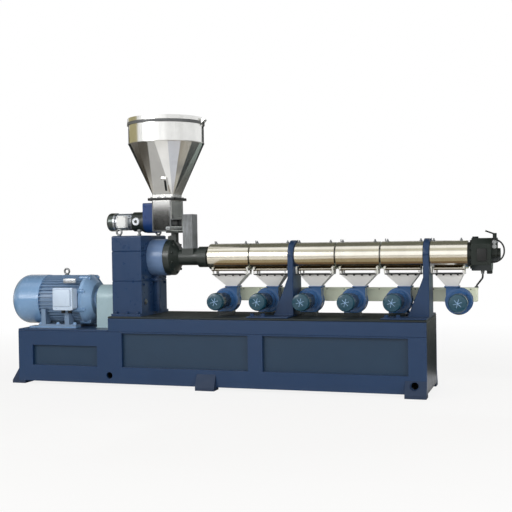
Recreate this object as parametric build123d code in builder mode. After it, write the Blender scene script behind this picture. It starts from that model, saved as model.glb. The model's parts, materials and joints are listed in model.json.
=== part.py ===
from build123d import *
from math import cos, radians, sin
import os

# Single-screw food extruder on a welded base, in millimetres.
# X runs from the drive motor to the die, Y from the operating side to the rear, Z is up.
# The origin lies on the floor under the middle of the machine.
# A station is a distance along X from the left end of the base.
os.makedirs("parts", exist_ok=True)

# Base
base_width = 640
low_deck_length = 868
low_deck_top = 477
high_deck_top = 590
foot_height = 25
deck_thickness = 16
side_thickness = 30
rail = 140

# Drive line
barrel_axis = 1080
motor_centre_height = 225
motor_overhang = 163
gearbox_setback = 21
gearbox_length = 272
gearbox_height = 680
thrust_length = 144
thrust_radius = 158

# Feed section
feed_disc_length = 55
feed_disc_radius = 154
feed_cone_length = 57
neck_length = 174
neck_radius = 70
neck_flange_length = 80
neck_flange_radius = 88
feeder_height = 262
feeder_gearbox_gap = 33
feeder_disc_gap = 69

# Barrel
cover_lead = 24
barrel_radius = 65
cover_radius = 110
zone_pitch = 363
zone_count = 6
last_zone = 311
support_neck = 46

# Die end
head_flange_length = 30
die_block_length = 150
clamp_length = 40
nozzle_length = 22
lead_reach = 37

# Clearances, and how far a cut runs past the face it leaves by
fit_gap = 0.3
pin_gap = 0.1
support_clearance = 5
overrun = 20

# Stations and heights that follow from the sizes above
gearbox_start = low_deck_length + gearbox_setback
gearbox_end = gearbox_start + gearbox_length
thrust_end = gearbox_end + thrust_length
feed_disc_end = thrust_end + feed_disc_length
feed_cone_end = feed_disc_end + feed_cone_length
neck_end = feed_cone_end + neck_length
neck_flange_end = neck_end + neck_flange_length
cover_start = neck_flange_end + cover_lead
zone_edges = [cover_start + zone_pitch * n for n in range(zone_count)]
cover_end = zone_edges[-1] + last_zone
zone_edges.append(cover_end)
support_stations = [zone_edges[2], zone_edges[5]]
base_length = support_stations[-1] + support_neck / 2
head_flange_end = cover_end + head_flange_length
die_block_end = head_flange_end + die_block_length
clamp_end = die_block_end + clamp_length
nozzle_end = clamp_end + nozzle_length
right_end = nozzle_end + lead_reach
middle = (right_end - motor_overhang) / 2
low_frame_top = low_deck_top - deck_thickness
high_frame_top = high_deck_top - deck_thickness
gearbox_top = high_deck_top + gearbox_height
feeder_bottom = max(gearbox_top + feeder_gearbox_gap, barrel_axis + feed_disc_radius + feeder_disc_gap)
feeder_top = feeder_bottom + feeder_height


def along(station):
    """X of a station."""
    return station - middle


def side_plane(y):
    """Upright lengthwise plane: station to the right, height up, normal to the operating side."""
    return Plane(origin=(along(0), y, 0), x_dir=(1, 0, 0), z_dir=(0, -1, 0))


def cross_plane(station):
    """Upright crosswise plane: Y to the right, height up, normal to the die."""
    return Plane(origin=(along(station), 0, 0), x_dir=(0, 1, 0), z_dir=(1, 0, 0))


def level_plane(height):
    """Level plane: station to the right, Y up the sheet, normal upward."""
    return Plane(origin=(along(0), 0, height))


def line_axis(height):
    """Lengthwise axis at a height."""
    return Axis((along(0), 0, height), (1, 0, 0))


def folded_outline(half, corner, radius):
    """Corner points of the folded cone: its square end and its many-sided round end."""
    square = []
    rounded = []
    for quarter in range(4):
        middle = Vector(half - corner, half - corner).rotate(Axis.Z, 90 * quarter)
        for fold in range(fold_count + 1):
            bend = 90 * (quarter + fold / fold_count)
            turn = 90 * quarter + flat_angle / 2 + (90 - flat_angle) * fold / fold_count
            square.append(middle + Vector(corner, 0).rotate(Axis.Z, bend))
            rounded.append(Vector(radius, 0).rotate(Axis.Z, turn))
    return square, rounded


def save(block, name):
    """Labels a finished piece and writes it."""
    block.part.label = name
    export_step(block.part, f"parts/{name}.step")


# Side plates with three panel bays each, the panels behind them, the rails above them
step_post_left = 106
step_post_right = 127
middle_post_share = 0.615
middle_post_width = 124
panel_thickness = 8
panel_lap = 22
lifting_radius = 28
lifting_height = 92
lifting_step_gap = 8
lifting_end_gap = 92

middle_post = middle_post_share * base_length
bay_bottom = foot_height + rail
high_bay_top = high_deck_top - rail
bays = [
    (rail, low_deck_length - step_post_left, low_deck_top - rail),
    (low_deck_length + step_post_right, middle_post - middle_post_width / 2, high_bay_top),
    (middle_post + middle_post_width / 2, base_length - rail, high_bay_top),
]
lifting_right = base_length - lifting_end_gap
lifting_points = [(low_deck_length + lifting_step_gap, lifting_height), (lifting_right, lifting_height)]

with BuildPart() as side_frames:
    for side in (-1, 1):
        with BuildSketch(side_plane(side * (base_width - side_thickness) / 2)):
            with Locations((base_length / 2, (foot_height + low_frame_top) / 2)):
                Rectangle(base_length, low_frame_top - foot_height)
            for left, right, top in bays:
                with Locations(((left + right) / 2, (bay_bottom + top) / 2)):
                    Rectangle(right - left, top - bay_bottom, mode=Mode.SUBTRACT)
            with Locations(*lifting_points):
                Circle(lifting_radius, mode=Mode.SUBTRACT)
        extrude(amount=side_thickness / 2, both=True)
save(side_frames, "side_frames")

with BuildPart() as upper_rails:
    for side in (-1, 1):
        with BuildSketch(side_plane(side * (base_width - side_thickness) / 2)):
            with Locations(((low_deck_length + base_length) / 2, (low_frame_top + high_frame_top) / 2)):
                Rectangle(base_length - low_deck_length, high_frame_top - low_frame_top)
        extrude(amount=side_thickness / 2, both=True)
save(upper_rails, "upper_rails")

with BuildPart() as base_panels:
    for side in (-1, 1):
        with BuildSketch(side_plane(side * (base_width / 2 - side_thickness - panel_thickness / 2))):
            for left, right, top in bays:
                with Locations(((left + right) / 2, (bay_bottom + top) / 2)):
                    Rectangle(right - left + 2 * panel_lap, top - bay_bottom + 2 * panel_lap)
        extrude(amount=panel_thickness / 2, both=True)
save(base_panels, "base_panels")

# End plates and the step plate between the side plates
end_thickness = 20

inner_width = base_width - 2 * side_thickness
end_plate_spans = [
    (0, foot_height, low_frame_top),
    (low_deck_length, low_frame_top, high_frame_top),
    (base_length - end_thickness, foot_height, high_frame_top),
]
with BuildPart() as end_plates:
    for start, low, high in end_plate_spans:
        with BuildSketch(cross_plane(start)):
            with Locations((0, (low + high) / 2)):
                Rectangle(inner_width, high - low)
        extrude(amount=end_thickness)
save(end_plates, "end_plates")

# Decks
with BuildPart() as motor_deck:
    with BuildSketch(level_plane(low_frame_top)):
        with Locations((low_deck_length / 2, 0)):
            Rectangle(low_deck_length, base_width)
    extrude(amount=deck_thickness)
save(motor_deck, "motor_deck")

with BuildPart() as barrel_deck:
    with BuildSketch(level_plane(high_frame_top)):
        with Locations(((low_deck_length + base_length) / 2, 0)):
            Rectangle(base_length - low_deck_length, base_width)
    extrude(amount=deck_thickness)
save(barrel_deck, "barrel_deck")

# Feet: flared to both sides in the middle and at the die end, flared endwise under the motor
foot_length = 165
foot_rise = 105
foot_flare = 48
foot_under = 60
foot_hole_lap = 6
middle_foot_share = 0.496
end_foot_width = 150
end_foot_flare = 66

foot_top = foot_height + foot_rise
foot_starts = (middle_foot_share * base_length - foot_length / 2, base_length - foot_length)
with BuildPart() as anchor_feet:
    for start in foot_starts:
        for side in (-1, 1):
            edge = side * base_width / 2
            with BuildSketch(cross_plane(start)):
                with BuildLine():
                    Polyline(
                        (edge - side * foot_under, 0),
                        (edge + side * foot_flare, 0),
                        (edge + side * foot_flare, foot_height),
                        (edge, foot_top),
                        (edge, foot_height),
                        (edge - side * foot_under, foot_height),
                        close=True,
                    )
                make_face()
            extrude(amount=foot_length)
    for side in (-1, 1):
        with BuildSketch(side_plane(side * (base_width - end_foot_width) / 2)):
            with BuildLine():
                Polyline(
                    (foot_under, 0),
                    (-end_foot_flare, 0),
                    (-end_foot_flare, foot_height),
                    (0, foot_top),
                    (0, foot_height),
                    (foot_under, foot_height),
                    close=True,
                )
            make_face()
        extrude(amount=end_foot_width / 2, both=True)
    with BuildSketch(side_plane(0)):
        with Locations((lifting_right, lifting_height)):
            Circle(lifting_radius + foot_hole_lap)
    extrude(amount=base_width / 2 + foot_flare + overrun, both=True, mode=Mode.SUBTRACT)
save(anchor_feet, "anchor_feet")

# Main motor: sole plates, finned body on feet, fan cowl, drive-end shield, terminal box
sole_height = 13
sole_width = 92
sole_length = 460
sole_lead = 89
sole_y = 172
cowl_length = 300
cowl_radius = 218
cowl_dome = 112
cowl_slot_count = 20
cowl_slot_length = 78
cowl_slot_width = 12
cowl_slot_radius = 70
cowl_slot_depth = 10
motor_body_length = 393
motor_root_radius = 192
motor_fin_radius = 215
motor_fin_count = 40
motor_fin_thickness = 7
motor_foot_gap = 5
foot_plate_height = 18
foot_rib_length = 42
foot_rib_leads = (33, 263)
foot_rib_rise = 150
foot_rib_inner = 135
shield_length = 110
shield_rim = 32
shield_nose_radius = 150
shield_cap_radius = 92
shield_cap_length = 14
box_lead = 211
box_width = 178
box_height = 182
box_rise = 20
box_gap = 2
box_depth = 73
box_lid_thickness = 25
box_lid_lap = 6
box_round = 14
box_boss_width = 126
box_boss_height = 120
eye_boss_radius = 28
motor_eye_lead = 171

motor_seat = low_deck_top + sole_height
motor_axis = motor_seat + motor_centre_height
cowl_end = cowl_length - motor_overhang
motor_body_end = cowl_end + motor_body_length
shield_end = motor_body_end + shield_length
sole_start = cowl_end - sole_lead
sole_end = sole_start + sole_length
motor_foot_start = cowl_end + motor_foot_gap
box_station = cowl_end + box_lead + box_width / 2
box_axis = motor_axis + box_rise
box_back = motor_fin_radius + box_gap
box_front = box_back + box_depth
motor_eye = cowl_end + motor_eye_lead
eye_boss_top = motor_axis + motor_fin_radius + box_gap

with BuildPart() as motor_soles:
    with BuildSketch(level_plane(low_deck_top)):
        with Locations(*[((sole_start + sole_end) / 2, side * sole_y) for side in (-1, 1)]):
            Rectangle(sole_length, sole_width)
    extrude(amount=sole_height)
save(motor_soles, "motor_soles")

with BuildPart() as motor_body:
    with BuildSketch(cross_plane(cowl_end)):
        with Locations((0, motor_axis)):
            Circle(motor_root_radius)
            with PolarLocations((motor_root_radius + motor_fin_radius) / 2, motor_fin_count):
                Rectangle(motor_fin_radius - motor_root_radius + overrun, motor_fin_thickness)
            Circle(motor_fin_radius, mode=Mode.INTERSECT)
    extrude(amount=motor_body_length)
    with BuildSketch(level_plane(motor_seat)):
        with Locations(*[((motor_foot_start + sole_end) / 2, side * sole_y) for side in (-1, 1)]):
            Rectangle(sole_end - motor_foot_start, sole_width)
    extrude(amount=foot_plate_height)
    for lead in foot_rib_leads:
        with BuildSketch(cross_plane(cowl_end + lead)):
            rib_outer = sole_y + sole_width / 2
            for side in (-1, 1):
                with Locations((side * (foot_rib_inner + rib_outer) / 2, motor_seat + foot_rib_rise / 2)):
                    Rectangle(rib_outer - foot_rib_inner, foot_rib_rise)
        extrude(amount=foot_rib_length)
    with BuildSketch(side_plane(0)):
        with Locations((box_station, box_axis)):
            Rectangle(box_boss_width, box_boss_height)
    extrude(amount=box_back)
    with BuildSketch(level_plane(motor_axis)):
        with Locations((motor_eye, 0)):
            Circle(eye_boss_radius)
    extrude(amount=eye_boss_top - motor_axis)
save(motor_body, "motor_body")

with BuildPart() as motor_fan_cowl:
    with BuildSketch(side_plane(0)):
        dome_station = cowl_dome - motor_overhang
        dome_height = motor_axis + cowl_radius - cowl_dome
        with BuildLine():
            Polyline(
                (-motor_overhang, dome_height),
                (-motor_overhang, motor_axis),
                (cowl_end, motor_axis),
                (cowl_end, motor_axis + cowl_radius),
                (dome_station, motor_axis + cowl_radius),
            )
            CenterArc((dome_station, dome_height), cowl_dome, 90, 90)
        make_face()
    revolve(axis=line_axis(motor_axis))
    with BuildSketch(cross_plane(-motor_overhang)):
        with Locations((0, motor_axis)):
            with PolarLocations(cowl_slot_radius, cowl_slot_count):
                SlotOverall(cowl_slot_length, cowl_slot_width)
    extrude(amount=cowl_slot_depth, mode=Mode.SUBTRACT)
save(motor_fan_cowl, "motor_fan_cowl")

with BuildPart() as motor_end_shield:
    with BuildSketch(side_plane(0)):
        with BuildLine():
            Polyline(
                (motor_body_end, motor_axis),
                (motor_body_end, motor_axis + cowl_radius),
                (motor_body_end + shield_rim, motor_axis + cowl_radius),
                (shield_end - shield_cap_length, motor_axis + shield_nose_radius),
                (shield_end - shield_cap_length, motor_axis + shield_cap_radius),
                (shield_end, motor_axis + shield_cap_radius),
                (shield_end, motor_axis),
                close=True,
            )
        make_face()
    revolve(axis=line_axis(motor_axis))
save(motor_end_shield, "motor_end_shield")

with BuildPart() as motor_terminal_box:
    with BuildSketch(side_plane(-box_back)):
        with Locations((box_station, box_axis)):
            RectangleRounded(box_width, box_height, box_round)
    extrude(amount=box_depth)
    with BuildSketch(side_plane(-box_front)):
        with Locations((box_station, box_axis)):
            RectangleRounded(box_width + 2 * box_lid_lap, box_height + 2 * box_lid_lap, box_round)
    extrude(amount=box_lid_thickness)
save(motor_terminal_box, "motor_terminal_box")

# Shaft coupling and its hooped guard
coupling_shaft_radius = 32
coupling_hub_radius = 78
coupling_hub_lead_share = 0.24
coupling_hub_share = 0.48
guard_lead = 22
guard_step_gap = 2
guard_half = 120
guard_crown_rise = 10
guard_sheet = 4
guard_flange = 24

guard_start = shield_end + guard_lead
guard_end = low_deck_length - guard_step_gap
guard_crown = motor_axis + guard_crown_rise
shaft_length = gearbox_start - shield_end
with BuildPart() as drive_coupling:
    with BuildSketch(cross_plane(shield_end)):
        with Locations((0, motor_axis)):
            Circle(coupling_shaft_radius)
    extrude(amount=shaft_length)
    with BuildSketch(cross_plane(shield_end + coupling_hub_lead_share * shaft_length)):
        with Locations((0, motor_axis)):
            Circle(coupling_hub_radius)
    extrude(amount=coupling_hub_share * shaft_length)
save(drive_coupling, "drive_coupling")

with BuildPart() as coupling_guard:
    with BuildSketch(cross_plane(guard_start)):
        guard_middle = (low_deck_top + guard_crown) / 2
        guard_inner = guard_half - guard_sheet
        with Locations((0, guard_crown)):
            Circle(guard_half)
        with Locations((0, guard_middle)):
            Rectangle(2 * guard_half, guard_crown - low_deck_top)
        with Locations((0, guard_crown)):
            Circle(guard_inner, mode=Mode.SUBTRACT)
        with Locations((0, guard_middle)):
            Rectangle(2 * guard_inner, guard_crown - low_deck_top, mode=Mode.SUBTRACT)
        for side in (-1, 1):
            with Locations((side * (guard_half + guard_flange / 2), low_deck_top + guard_sheet / 2)):
                Rectangle(guard_flange, guard_sheet)
    extrude(amount=guard_end - guard_start)
save(coupling_guard, "coupling_guard")

# Gearbox in three stacked cases, thrust housing on its die side
gearbox_margin = 60
gearbox_foot_lap = 32
gearbox_foot_height = 22
lower_case_share = 0.435
middle_case_share = 0.37
gearbox_chamfer = 5
gearbox_top_round = 14

gearbox_half = base_width / 2 - gearbox_margin
gearbox_foot_half = gearbox_half + gearbox_foot_lap
gearbox_middle = (gearbox_start + gearbox_end) / 2
gearbox_split_low = high_deck_top + lower_case_share * gearbox_height
gearbox_split_high = gearbox_split_low + middle_case_share * gearbox_height
with BuildPart() as gearbox_lower_case:
    with BuildSketch(level_plane(high_deck_top)):
        with Locations((gearbox_middle, 0)):
            Rectangle(gearbox_length, 2 * gearbox_half)
    extrude(amount=gearbox_split_low - high_deck_top)
    chamfer(gearbox_lower_case.faces().sort_by(Axis.Z)[-1].edges(), gearbox_chamfer)
    with BuildSketch(level_plane(high_deck_top)):
        with Locations((gearbox_middle, 0)):
            Rectangle(gearbox_length, 2 * gearbox_foot_half)
    extrude(amount=gearbox_foot_height)
save(gearbox_lower_case, "gearbox_lower_case")

with BuildPart() as gearbox_middle_case:
    with BuildSketch(level_plane(gearbox_split_low)):
        with Locations((gearbox_middle, 0)):
            Rectangle(gearbox_length, 2 * gearbox_half)
    extrude(amount=gearbox_split_high - gearbox_split_low)
    chamfer(gearbox_middle_case.faces().sort_by(Axis.Z)[-1].edges(), gearbox_chamfer)
    chamfer(gearbox_middle_case.faces().sort_by(Axis.Z)[0].edges(), gearbox_chamfer)
save(gearbox_middle_case, "gearbox_middle_case")

with BuildPart() as gearbox_cover:
    with BuildSketch(level_plane(gearbox_split_high)):
        with Locations((gearbox_middle, 0)):
            Rectangle(gearbox_length, 2 * gearbox_half)
    extrude(amount=gearbox_top - gearbox_split_high)
    fillet(gearbox_cover.faces().sort_by(Axis.Z)[-1].edges(), gearbox_top_round)
    chamfer(gearbox_cover.faces().sort_by(Axis.Z)[0].edges(), gearbox_chamfer)
save(gearbox_cover, "gearbox_cover")

with BuildPart() as thrust_housing:
    with BuildSketch(cross_plane(gearbox_end)):
        with Locations((0, barrel_axis)):
            Circle(thrust_radius)
    extrude(amount=thrust_length)
save(thrust_housing, "thrust_housing")

# Lifting eyes on the motor and on two corners of the gearbox cover
eye_ring_radius = 23
eye_wire_radius = 8
eye_collar_radius = 17
eye_collar_height = 10
gearbox_eye_inset = 46
gearbox_eye_margin = 55

gearbox_eye_y = gearbox_half - gearbox_eye_margin
eye_seats = [
    (motor_eye, 0, eye_boss_top),
    (gearbox_start + gearbox_eye_inset, -gearbox_eye_y, gearbox_top),
    (gearbox_end - gearbox_eye_inset, gearbox_eye_y, gearbox_top),
]
with BuildPart() as lifting_eyes:
    for station, y, seat in eye_seats:
        with BuildSketch(level_plane(seat)):
            with Locations((station, y)):
                Circle(eye_collar_radius)
        extrude(amount=eye_collar_height)
        with Locations((along(station), y, seat + eye_ring_radius + eye_wire_radius)):
            Torus(eye_ring_radius, eye_wire_radius, rotation=(90, 0, 0))
save(lifting_eyes, "lifting_eyes")

# Feed section: flange disc, cone, neck, neck flange, upright throat, pad for the vent stack
throat_lead = 35
throat_length = 42
throat_half = 32
throat_root_lead = 4
throat_root_rise = 180
throat_collar = 35
throat_flare_rise = 130
throat_flare_length = 48
throat_flare_end_rise = 58
throat_flange_lead = 7
throat_flange_length = 112
throat_flange_half = 78
throat_flange_height = 14
stack_lead = 42
stack_length = 87
stack_half = 60
stack_pad_lap = 8
stack_pad_rise = 74
stack_height = 291
stack_sheet = 4

throat_start = thrust_end + throat_lead
throat_end = throat_start + throat_length
stack_station = feed_cone_end + stack_lead + stack_length / 2
stack_pad_top = barrel_axis + stack_pad_rise
throat_flange_station = thrust_end + throat_flange_lead + throat_flange_length / 2
with BuildPart() as feed_housing:
    with BuildSketch(side_plane(0)):
        with BuildLine():
            Polyline(
                (thrust_end, barrel_axis),
                (thrust_end, barrel_axis + feed_disc_radius),
                (feed_disc_end, barrel_axis + feed_disc_radius),
                (feed_cone_end, barrel_axis + neck_radius),
                (neck_end, barrel_axis + neck_radius),
                (neck_end, barrel_axis + neck_flange_radius),
                (neck_flange_end, barrel_axis + neck_flange_radius),
                (neck_flange_end, barrel_axis),
                close=True,
            )
        make_face()
    revolve(axis=line_axis(barrel_axis))
    with BuildSketch(side_plane(0)):
        root_start = thrust_end + throat_root_lead
        with BuildLine():
            Polyline(
                (root_start, barrel_axis),
                (root_start, barrel_axis + throat_root_rise),
                (throat_start, feeder_bottom - throat_collar),
                (throat_start, feeder_bottom),
                (throat_end, feeder_bottom),
                (throat_end, barrel_axis + throat_flare_rise),
                (throat_end + throat_flare_length, barrel_axis + throat_flare_end_rise),
                (throat_end + throat_flare_length, barrel_axis),
                close=True,
            )
        make_face()
    extrude(amount=throat_half, both=True)
    with BuildSketch(level_plane(feeder_bottom - throat_flange_height)):
        with Locations((throat_flange_station, 0)):
            Rectangle(throat_flange_length, 2 * throat_flange_half)
    extrude(amount=throat_flange_height)
    with BuildSketch(level_plane(barrel_axis)):
        with Locations((stack_station, 0)):
            Rectangle(stack_length + 2 * stack_pad_lap, 2 * (stack_half + stack_pad_lap))
    extrude(amount=stack_pad_rise)
save(feed_housing, "feed_housing")

with BuildPart() as vent_stack:
    with BuildSketch(level_plane(stack_pad_top)):
        with Locations((stack_station, 0)):
            Rectangle(stack_length, 2 * stack_half)
            Rectangle(stack_length - 2 * stack_sheet, 2 * (stack_half - stack_sheet), mode=Mode.SUBTRACT)
    extrude(amount=stack_height)
save(vent_stack, "vent_stack")

# Feeder: box under the hopper with a recess at its die end, chain guard, reducer, motor
feeder_lead = 51
feeder_length = 168
feeder_half = 130
feeder_plate = 8
feeder_plate_rise = 102
feeder_recess_low = 44
feeder_recess_height = 52
feeder_recess_depth = 46
feeder_recess_margin = 12
feeder_flange_half = 125
feeder_flange_height = 12
feeder_axis_rise = 88
chain_guard_length = 105
chain_guard_half = 100
chain_guard_drop = 17
chain_guard_round = 16
reducer_length = 120
reducer_radius = 84
reducer_flange_radius = 96
reducer_flange_length = 22
feeder_motor_length = 242
feeder_motor_radius = 74
feeder_motor_fin_count = 24
feeder_motor_fin_height = 8
feeder_motor_fin_thickness = 4
feeder_cowl_radius = 80
feeder_cowl_length = 78
feeder_cowl_round = 22
feeder_box_lead = 125
feeder_box_width = 84
feeder_box_height = 104
feeder_box_depth = 48
feeder_box_round = 8

feeder_start = gearbox_end + feeder_lead
feeder_end = feeder_start + feeder_length
hopper_station = (feeder_start + feeder_end) / 2
feeder_axis = feeder_bottom + feeder_axis_rise
chain_guard_start = feeder_start - chain_guard_length
chain_guard_top = feeder_top - chain_guard_drop
reducer_start = chain_guard_start - reducer_length
feeder_motor_start = reducer_start - feeder_motor_length
feeder_box_station = feeder_motor_start + feeder_box_lead + feeder_box_width / 2
feeder_box_back = feeder_motor_radius + box_gap
with BuildPart() as feeder_trough:
    with BuildSketch(level_plane(feeder_bottom)):
        with Locations((hopper_station, 0)):
            Rectangle(feeder_length, 2 * feeder_half)
    extrude(amount=feeder_height)
    with BuildSketch(cross_plane(feeder_end)):
        with Locations((0, feeder_bottom + feeder_recess_low + feeder_recess_height / 2)):
            Rectangle(2 * (feeder_half - feeder_recess_margin), feeder_recess_height)
    extrude(amount=-feeder_recess_depth, mode=Mode.SUBTRACT)
    with BuildSketch(level_plane(feeder_top)):
        with Locations((hopper_station, 0)):
            Rectangle(2 * feeder_flange_half, 2 * feeder_flange_half)
    extrude(amount=feeder_flange_height)
save(feeder_trough, "feeder_trough")

with BuildPart() as feeder_end_plate:
    with BuildSketch(cross_plane(feeder_end)):
        with Locations((0, (feeder_bottom + feeder_plate_rise + feeder_top) / 2)):
            Rectangle(2 * feeder_half, feeder_height - feeder_plate_rise)
    extrude(amount=feeder_plate)
save(feeder_end_plate, "feeder_end_plate")

with BuildPart() as chain_guard:
    with BuildSketch(cross_plane(chain_guard_start)):
        with Locations((0, feeder_axis)):
            Circle(chain_guard_half)
        with Locations((0, (feeder_axis + chain_guard_top) / 2)):
            Rectangle(2 * chain_guard_half, chain_guard_top - feeder_axis)
    extrude(amount=chain_guard_length)
    fillet(chain_guard.edges().filter_by(Axis.X).sort_by(Axis.Z)[-2:], chain_guard_round)
save(chain_guard, "chain_guard")

with BuildPart() as feeder_reducer:
    with BuildSketch(cross_plane(reducer_start)):
        with Locations((0, feeder_axis)):
            Circle(reducer_radius)
    extrude(amount=reducer_length)
    with BuildSketch(cross_plane(chain_guard_start - reducer_flange_length)):
        with Locations((0, feeder_axis)):
            Circle(reducer_flange_radius)
    extrude(amount=reducer_flange_length)
save(feeder_reducer, "feeder_reducer")

with BuildPart() as feeder_motor:
    with BuildSketch(cross_plane(feeder_motor_start + feeder_cowl_length)):
        fin_root_radius = feeder_motor_radius - feeder_motor_fin_height
        with Locations((0, feeder_axis)):
            Circle(fin_root_radius)
            with PolarLocations(fin_root_radius, feeder_motor_fin_count):
                Rectangle(2 * feeder_motor_fin_height, feeder_motor_fin_thickness)
    extrude(amount=feeder_motor_length - feeder_cowl_length)
    with BuildSketch(cross_plane(feeder_motor_start)):
        with Locations((0, feeder_axis)):
            Circle(feeder_cowl_radius)
    extrude(amount=feeder_cowl_length)
    fillet(feeder_motor.edges().group_by(Axis.X)[0], feeder_cowl_round)
    with BuildSketch(side_plane(0)):
        with Locations((feeder_box_station, feeder_axis)):
            Rectangle(feeder_box_width, feeder_motor_radius)
    extrude(amount=feeder_box_back)
save(feeder_motor, "feeder_motor")

with BuildPart() as feeder_terminal_box:
    with BuildSketch(side_plane(-feeder_box_back)):
        with Locations((feeder_box_station, feeder_axis)):
            RectangleRounded(feeder_box_width, feeder_box_height, feeder_box_round)
    extrude(amount=feeder_box_depth)
save(feeder_terminal_box, "feeder_terminal_box")

# Hopper: flanged collar, square-to-round cone with a sight window, cylinder with rim and hinge
hopper_radius = 323
hopper_sheet = 4
hopper_flange_half = 125
hopper_flange_height = 11
collar_height = 28
outlet_half = 98
outlet_corner = 14
cone_height = 435
cylinder_height = 181
rim_height = 6
rim_radius = 330
cone_edge_lap = 2
flat_angle = 11
fold_count = 4
window_share = 0.175
window_width = 46
window_length = 130
window_slot_width = 20
window_slot_margin = 16
window_frame_height = 10
window_glass_height = 5
window_glass_lift = 4
window_shift = 50
window_lean = 5
hinge_gap = 22
hinge_rise = 5
hinge_pin_radius = 5
hinge_knuckle_radius = 11
hinge_leaf_half = 16
hinge_ear_width = 14
hinge_ear_gap = 1
hinge_ear_drop = 42
hinge_rim_gap = 5
lid_radius = 328
lid_sheet = 4
lid_height = 27
lid_bar_radius = 6
lid_bar_half = 48
lid_bar_height = 34
lid_bar_round = 16

hopper_flange_low = feeder_top + feeder_flange_height
collar_low = hopper_flange_low + hopper_flange_height
cone_low = collar_low + collar_height
cone_high = cone_low + cone_height
rim_low = cone_high + cylinder_height
rim_top = rim_low + rim_height
hinge_station = hopper_station + rim_radius + hinge_gap
hinge_height = rim_top + hinge_rise
ear_inner = hinge_leaf_half + hinge_ear_gap
ear_outer = ear_inner + hinge_ear_width
lid_low = rim_top + fit_gap
lid_top = lid_low + lid_height
cone_radius = hopper_radius + cone_edge_lap
flat_run = cone_radius * cos(radians(flat_angle / 2)) - outlet_half
flat_length = (flat_run**2 + cone_height**2) ** 0.5
window_plane = Plane(
    origin=(
        along(hopper_station + window_shift),
        -outlet_half - window_share * flat_run,
        cone_low + window_share * cone_height,
    ),
    x_dir=(
        cos(radians(window_lean)),
        sin(radians(window_lean)) * flat_run / flat_length,
        -sin(radians(window_lean)) * cone_height / flat_length,
    ),
    z_dir=(0, -cone_height / flat_length, -flat_run / flat_length),
)

with BuildPart() as hopper_cone:
    with BuildSketch(level_plane(hopper_flange_low)):
        with Locations((hopper_station, 0)):
            Rectangle(2 * hopper_flange_half, 2 * hopper_flange_half)
    extrude(amount=hopper_flange_height)
    with BuildSketch(level_plane(collar_low)):
        with Locations((hopper_station, 0)):
            RectangleRounded(2 * outlet_half, 2 * outlet_half, outlet_corner)
    extrude(amount=collar_height)
    outer_square, outer_rounded = folded_outline(outlet_half, outlet_corner, cone_radius)
    with BuildSketch(level_plane(cone_low)):
        with Locations((hopper_station, 0)):
            Polygon(*outer_square, align=None)
    with BuildSketch(level_plane(cone_high)):
        with Locations((hopper_station, 0)):
            Polygon(*outer_rounded, align=None)
    loft(ruled=True)
    with BuildSketch(window_plane):
        Rectangle(window_width, window_length)
        Rectangle(window_slot_width, window_length - 2 * window_slot_margin, mode=Mode.SUBTRACT)
    extrude(amount=window_frame_height)
    inner_half = outlet_half - hopper_sheet
    inner_corner = outlet_corner - hopper_sheet
    with BuildSketch(level_plane(hopper_flange_low)):
        with Locations((hopper_station, 0)):
            RectangleRounded(2 * inner_half, 2 * inner_half, inner_corner)
    extrude(amount=cone_low - hopper_flange_low, mode=Mode.SUBTRACT)
    inner_square, inner_rounded = folded_outline(inner_half, inner_corner, cone_radius - hopper_sheet)
    with BuildSketch(level_plane(cone_low)):
        with Locations((hopper_station, 0)):
            Polygon(*inner_square, align=None)
    with BuildSketch(level_plane(cone_high)):
        with Locations((hopper_station, 0)):
            Polygon(*inner_rounded, align=None)
    loft(ruled=True, mode=Mode.SUBTRACT)
save(hopper_cone, "hopper_cone")

with BuildPart() as sight_glass:
    with BuildSketch(window_plane.offset(window_glass_lift)):
        glass_length = window_length - 2 * window_slot_margin
        Rectangle(window_slot_width - 2 * fit_gap, glass_length - 2 * fit_gap)
    extrude(amount=window_glass_height)
save(sight_glass, "sight_glass")

with BuildPart() as hopper_cylinder:
    with BuildSketch(level_plane(cone_high)):
        with Locations((hopper_station, 0)):
            Circle(hopper_radius)
    extrude(amount=cylinder_height)
    with BuildSketch(level_plane(rim_low)):
        with Locations((hopper_station, 0)):
            Circle(rim_radius)
    extrude(amount=rim_height)
    for side in (-1, 1):
        with BuildSketch(side_plane(side * (ear_inner + ear_outer) / 2)):
            rim_side = hopper_station + rim_radius + hinge_rim_gap
            wall_side = hopper_station + hopper_radius - hopper_sheet / 2
            with Locations((hinge_station, hinge_height)):
                Circle(hinge_knuckle_radius)
            with BuildLine():
                Polyline(
                    (hinge_station + hinge_knuckle_radius, hinge_height),
                    (rim_side, hinge_height),
                    (rim_side, rim_low),
                    (wall_side, rim_low),
                    (wall_side, rim_low - hinge_ear_drop),
                    close=True,
                )
            make_face()
        extrude(amount=hinge_ear_width / 2, both=True)
    with BuildSketch(side_plane(0)):
        with Locations((hinge_station, hinge_height)):
            Circle(hinge_pin_radius)
    extrude(amount=ear_outer, both=True)
    with BuildSketch(level_plane(cone_high)):
        with Locations((hopper_station, 0)):
            Circle(hopper_radius - hopper_sheet)
    extrude(amount=cylinder_height + rim_height, mode=Mode.SUBTRACT)
save(hopper_cylinder, "hopper_cylinder")

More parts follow.
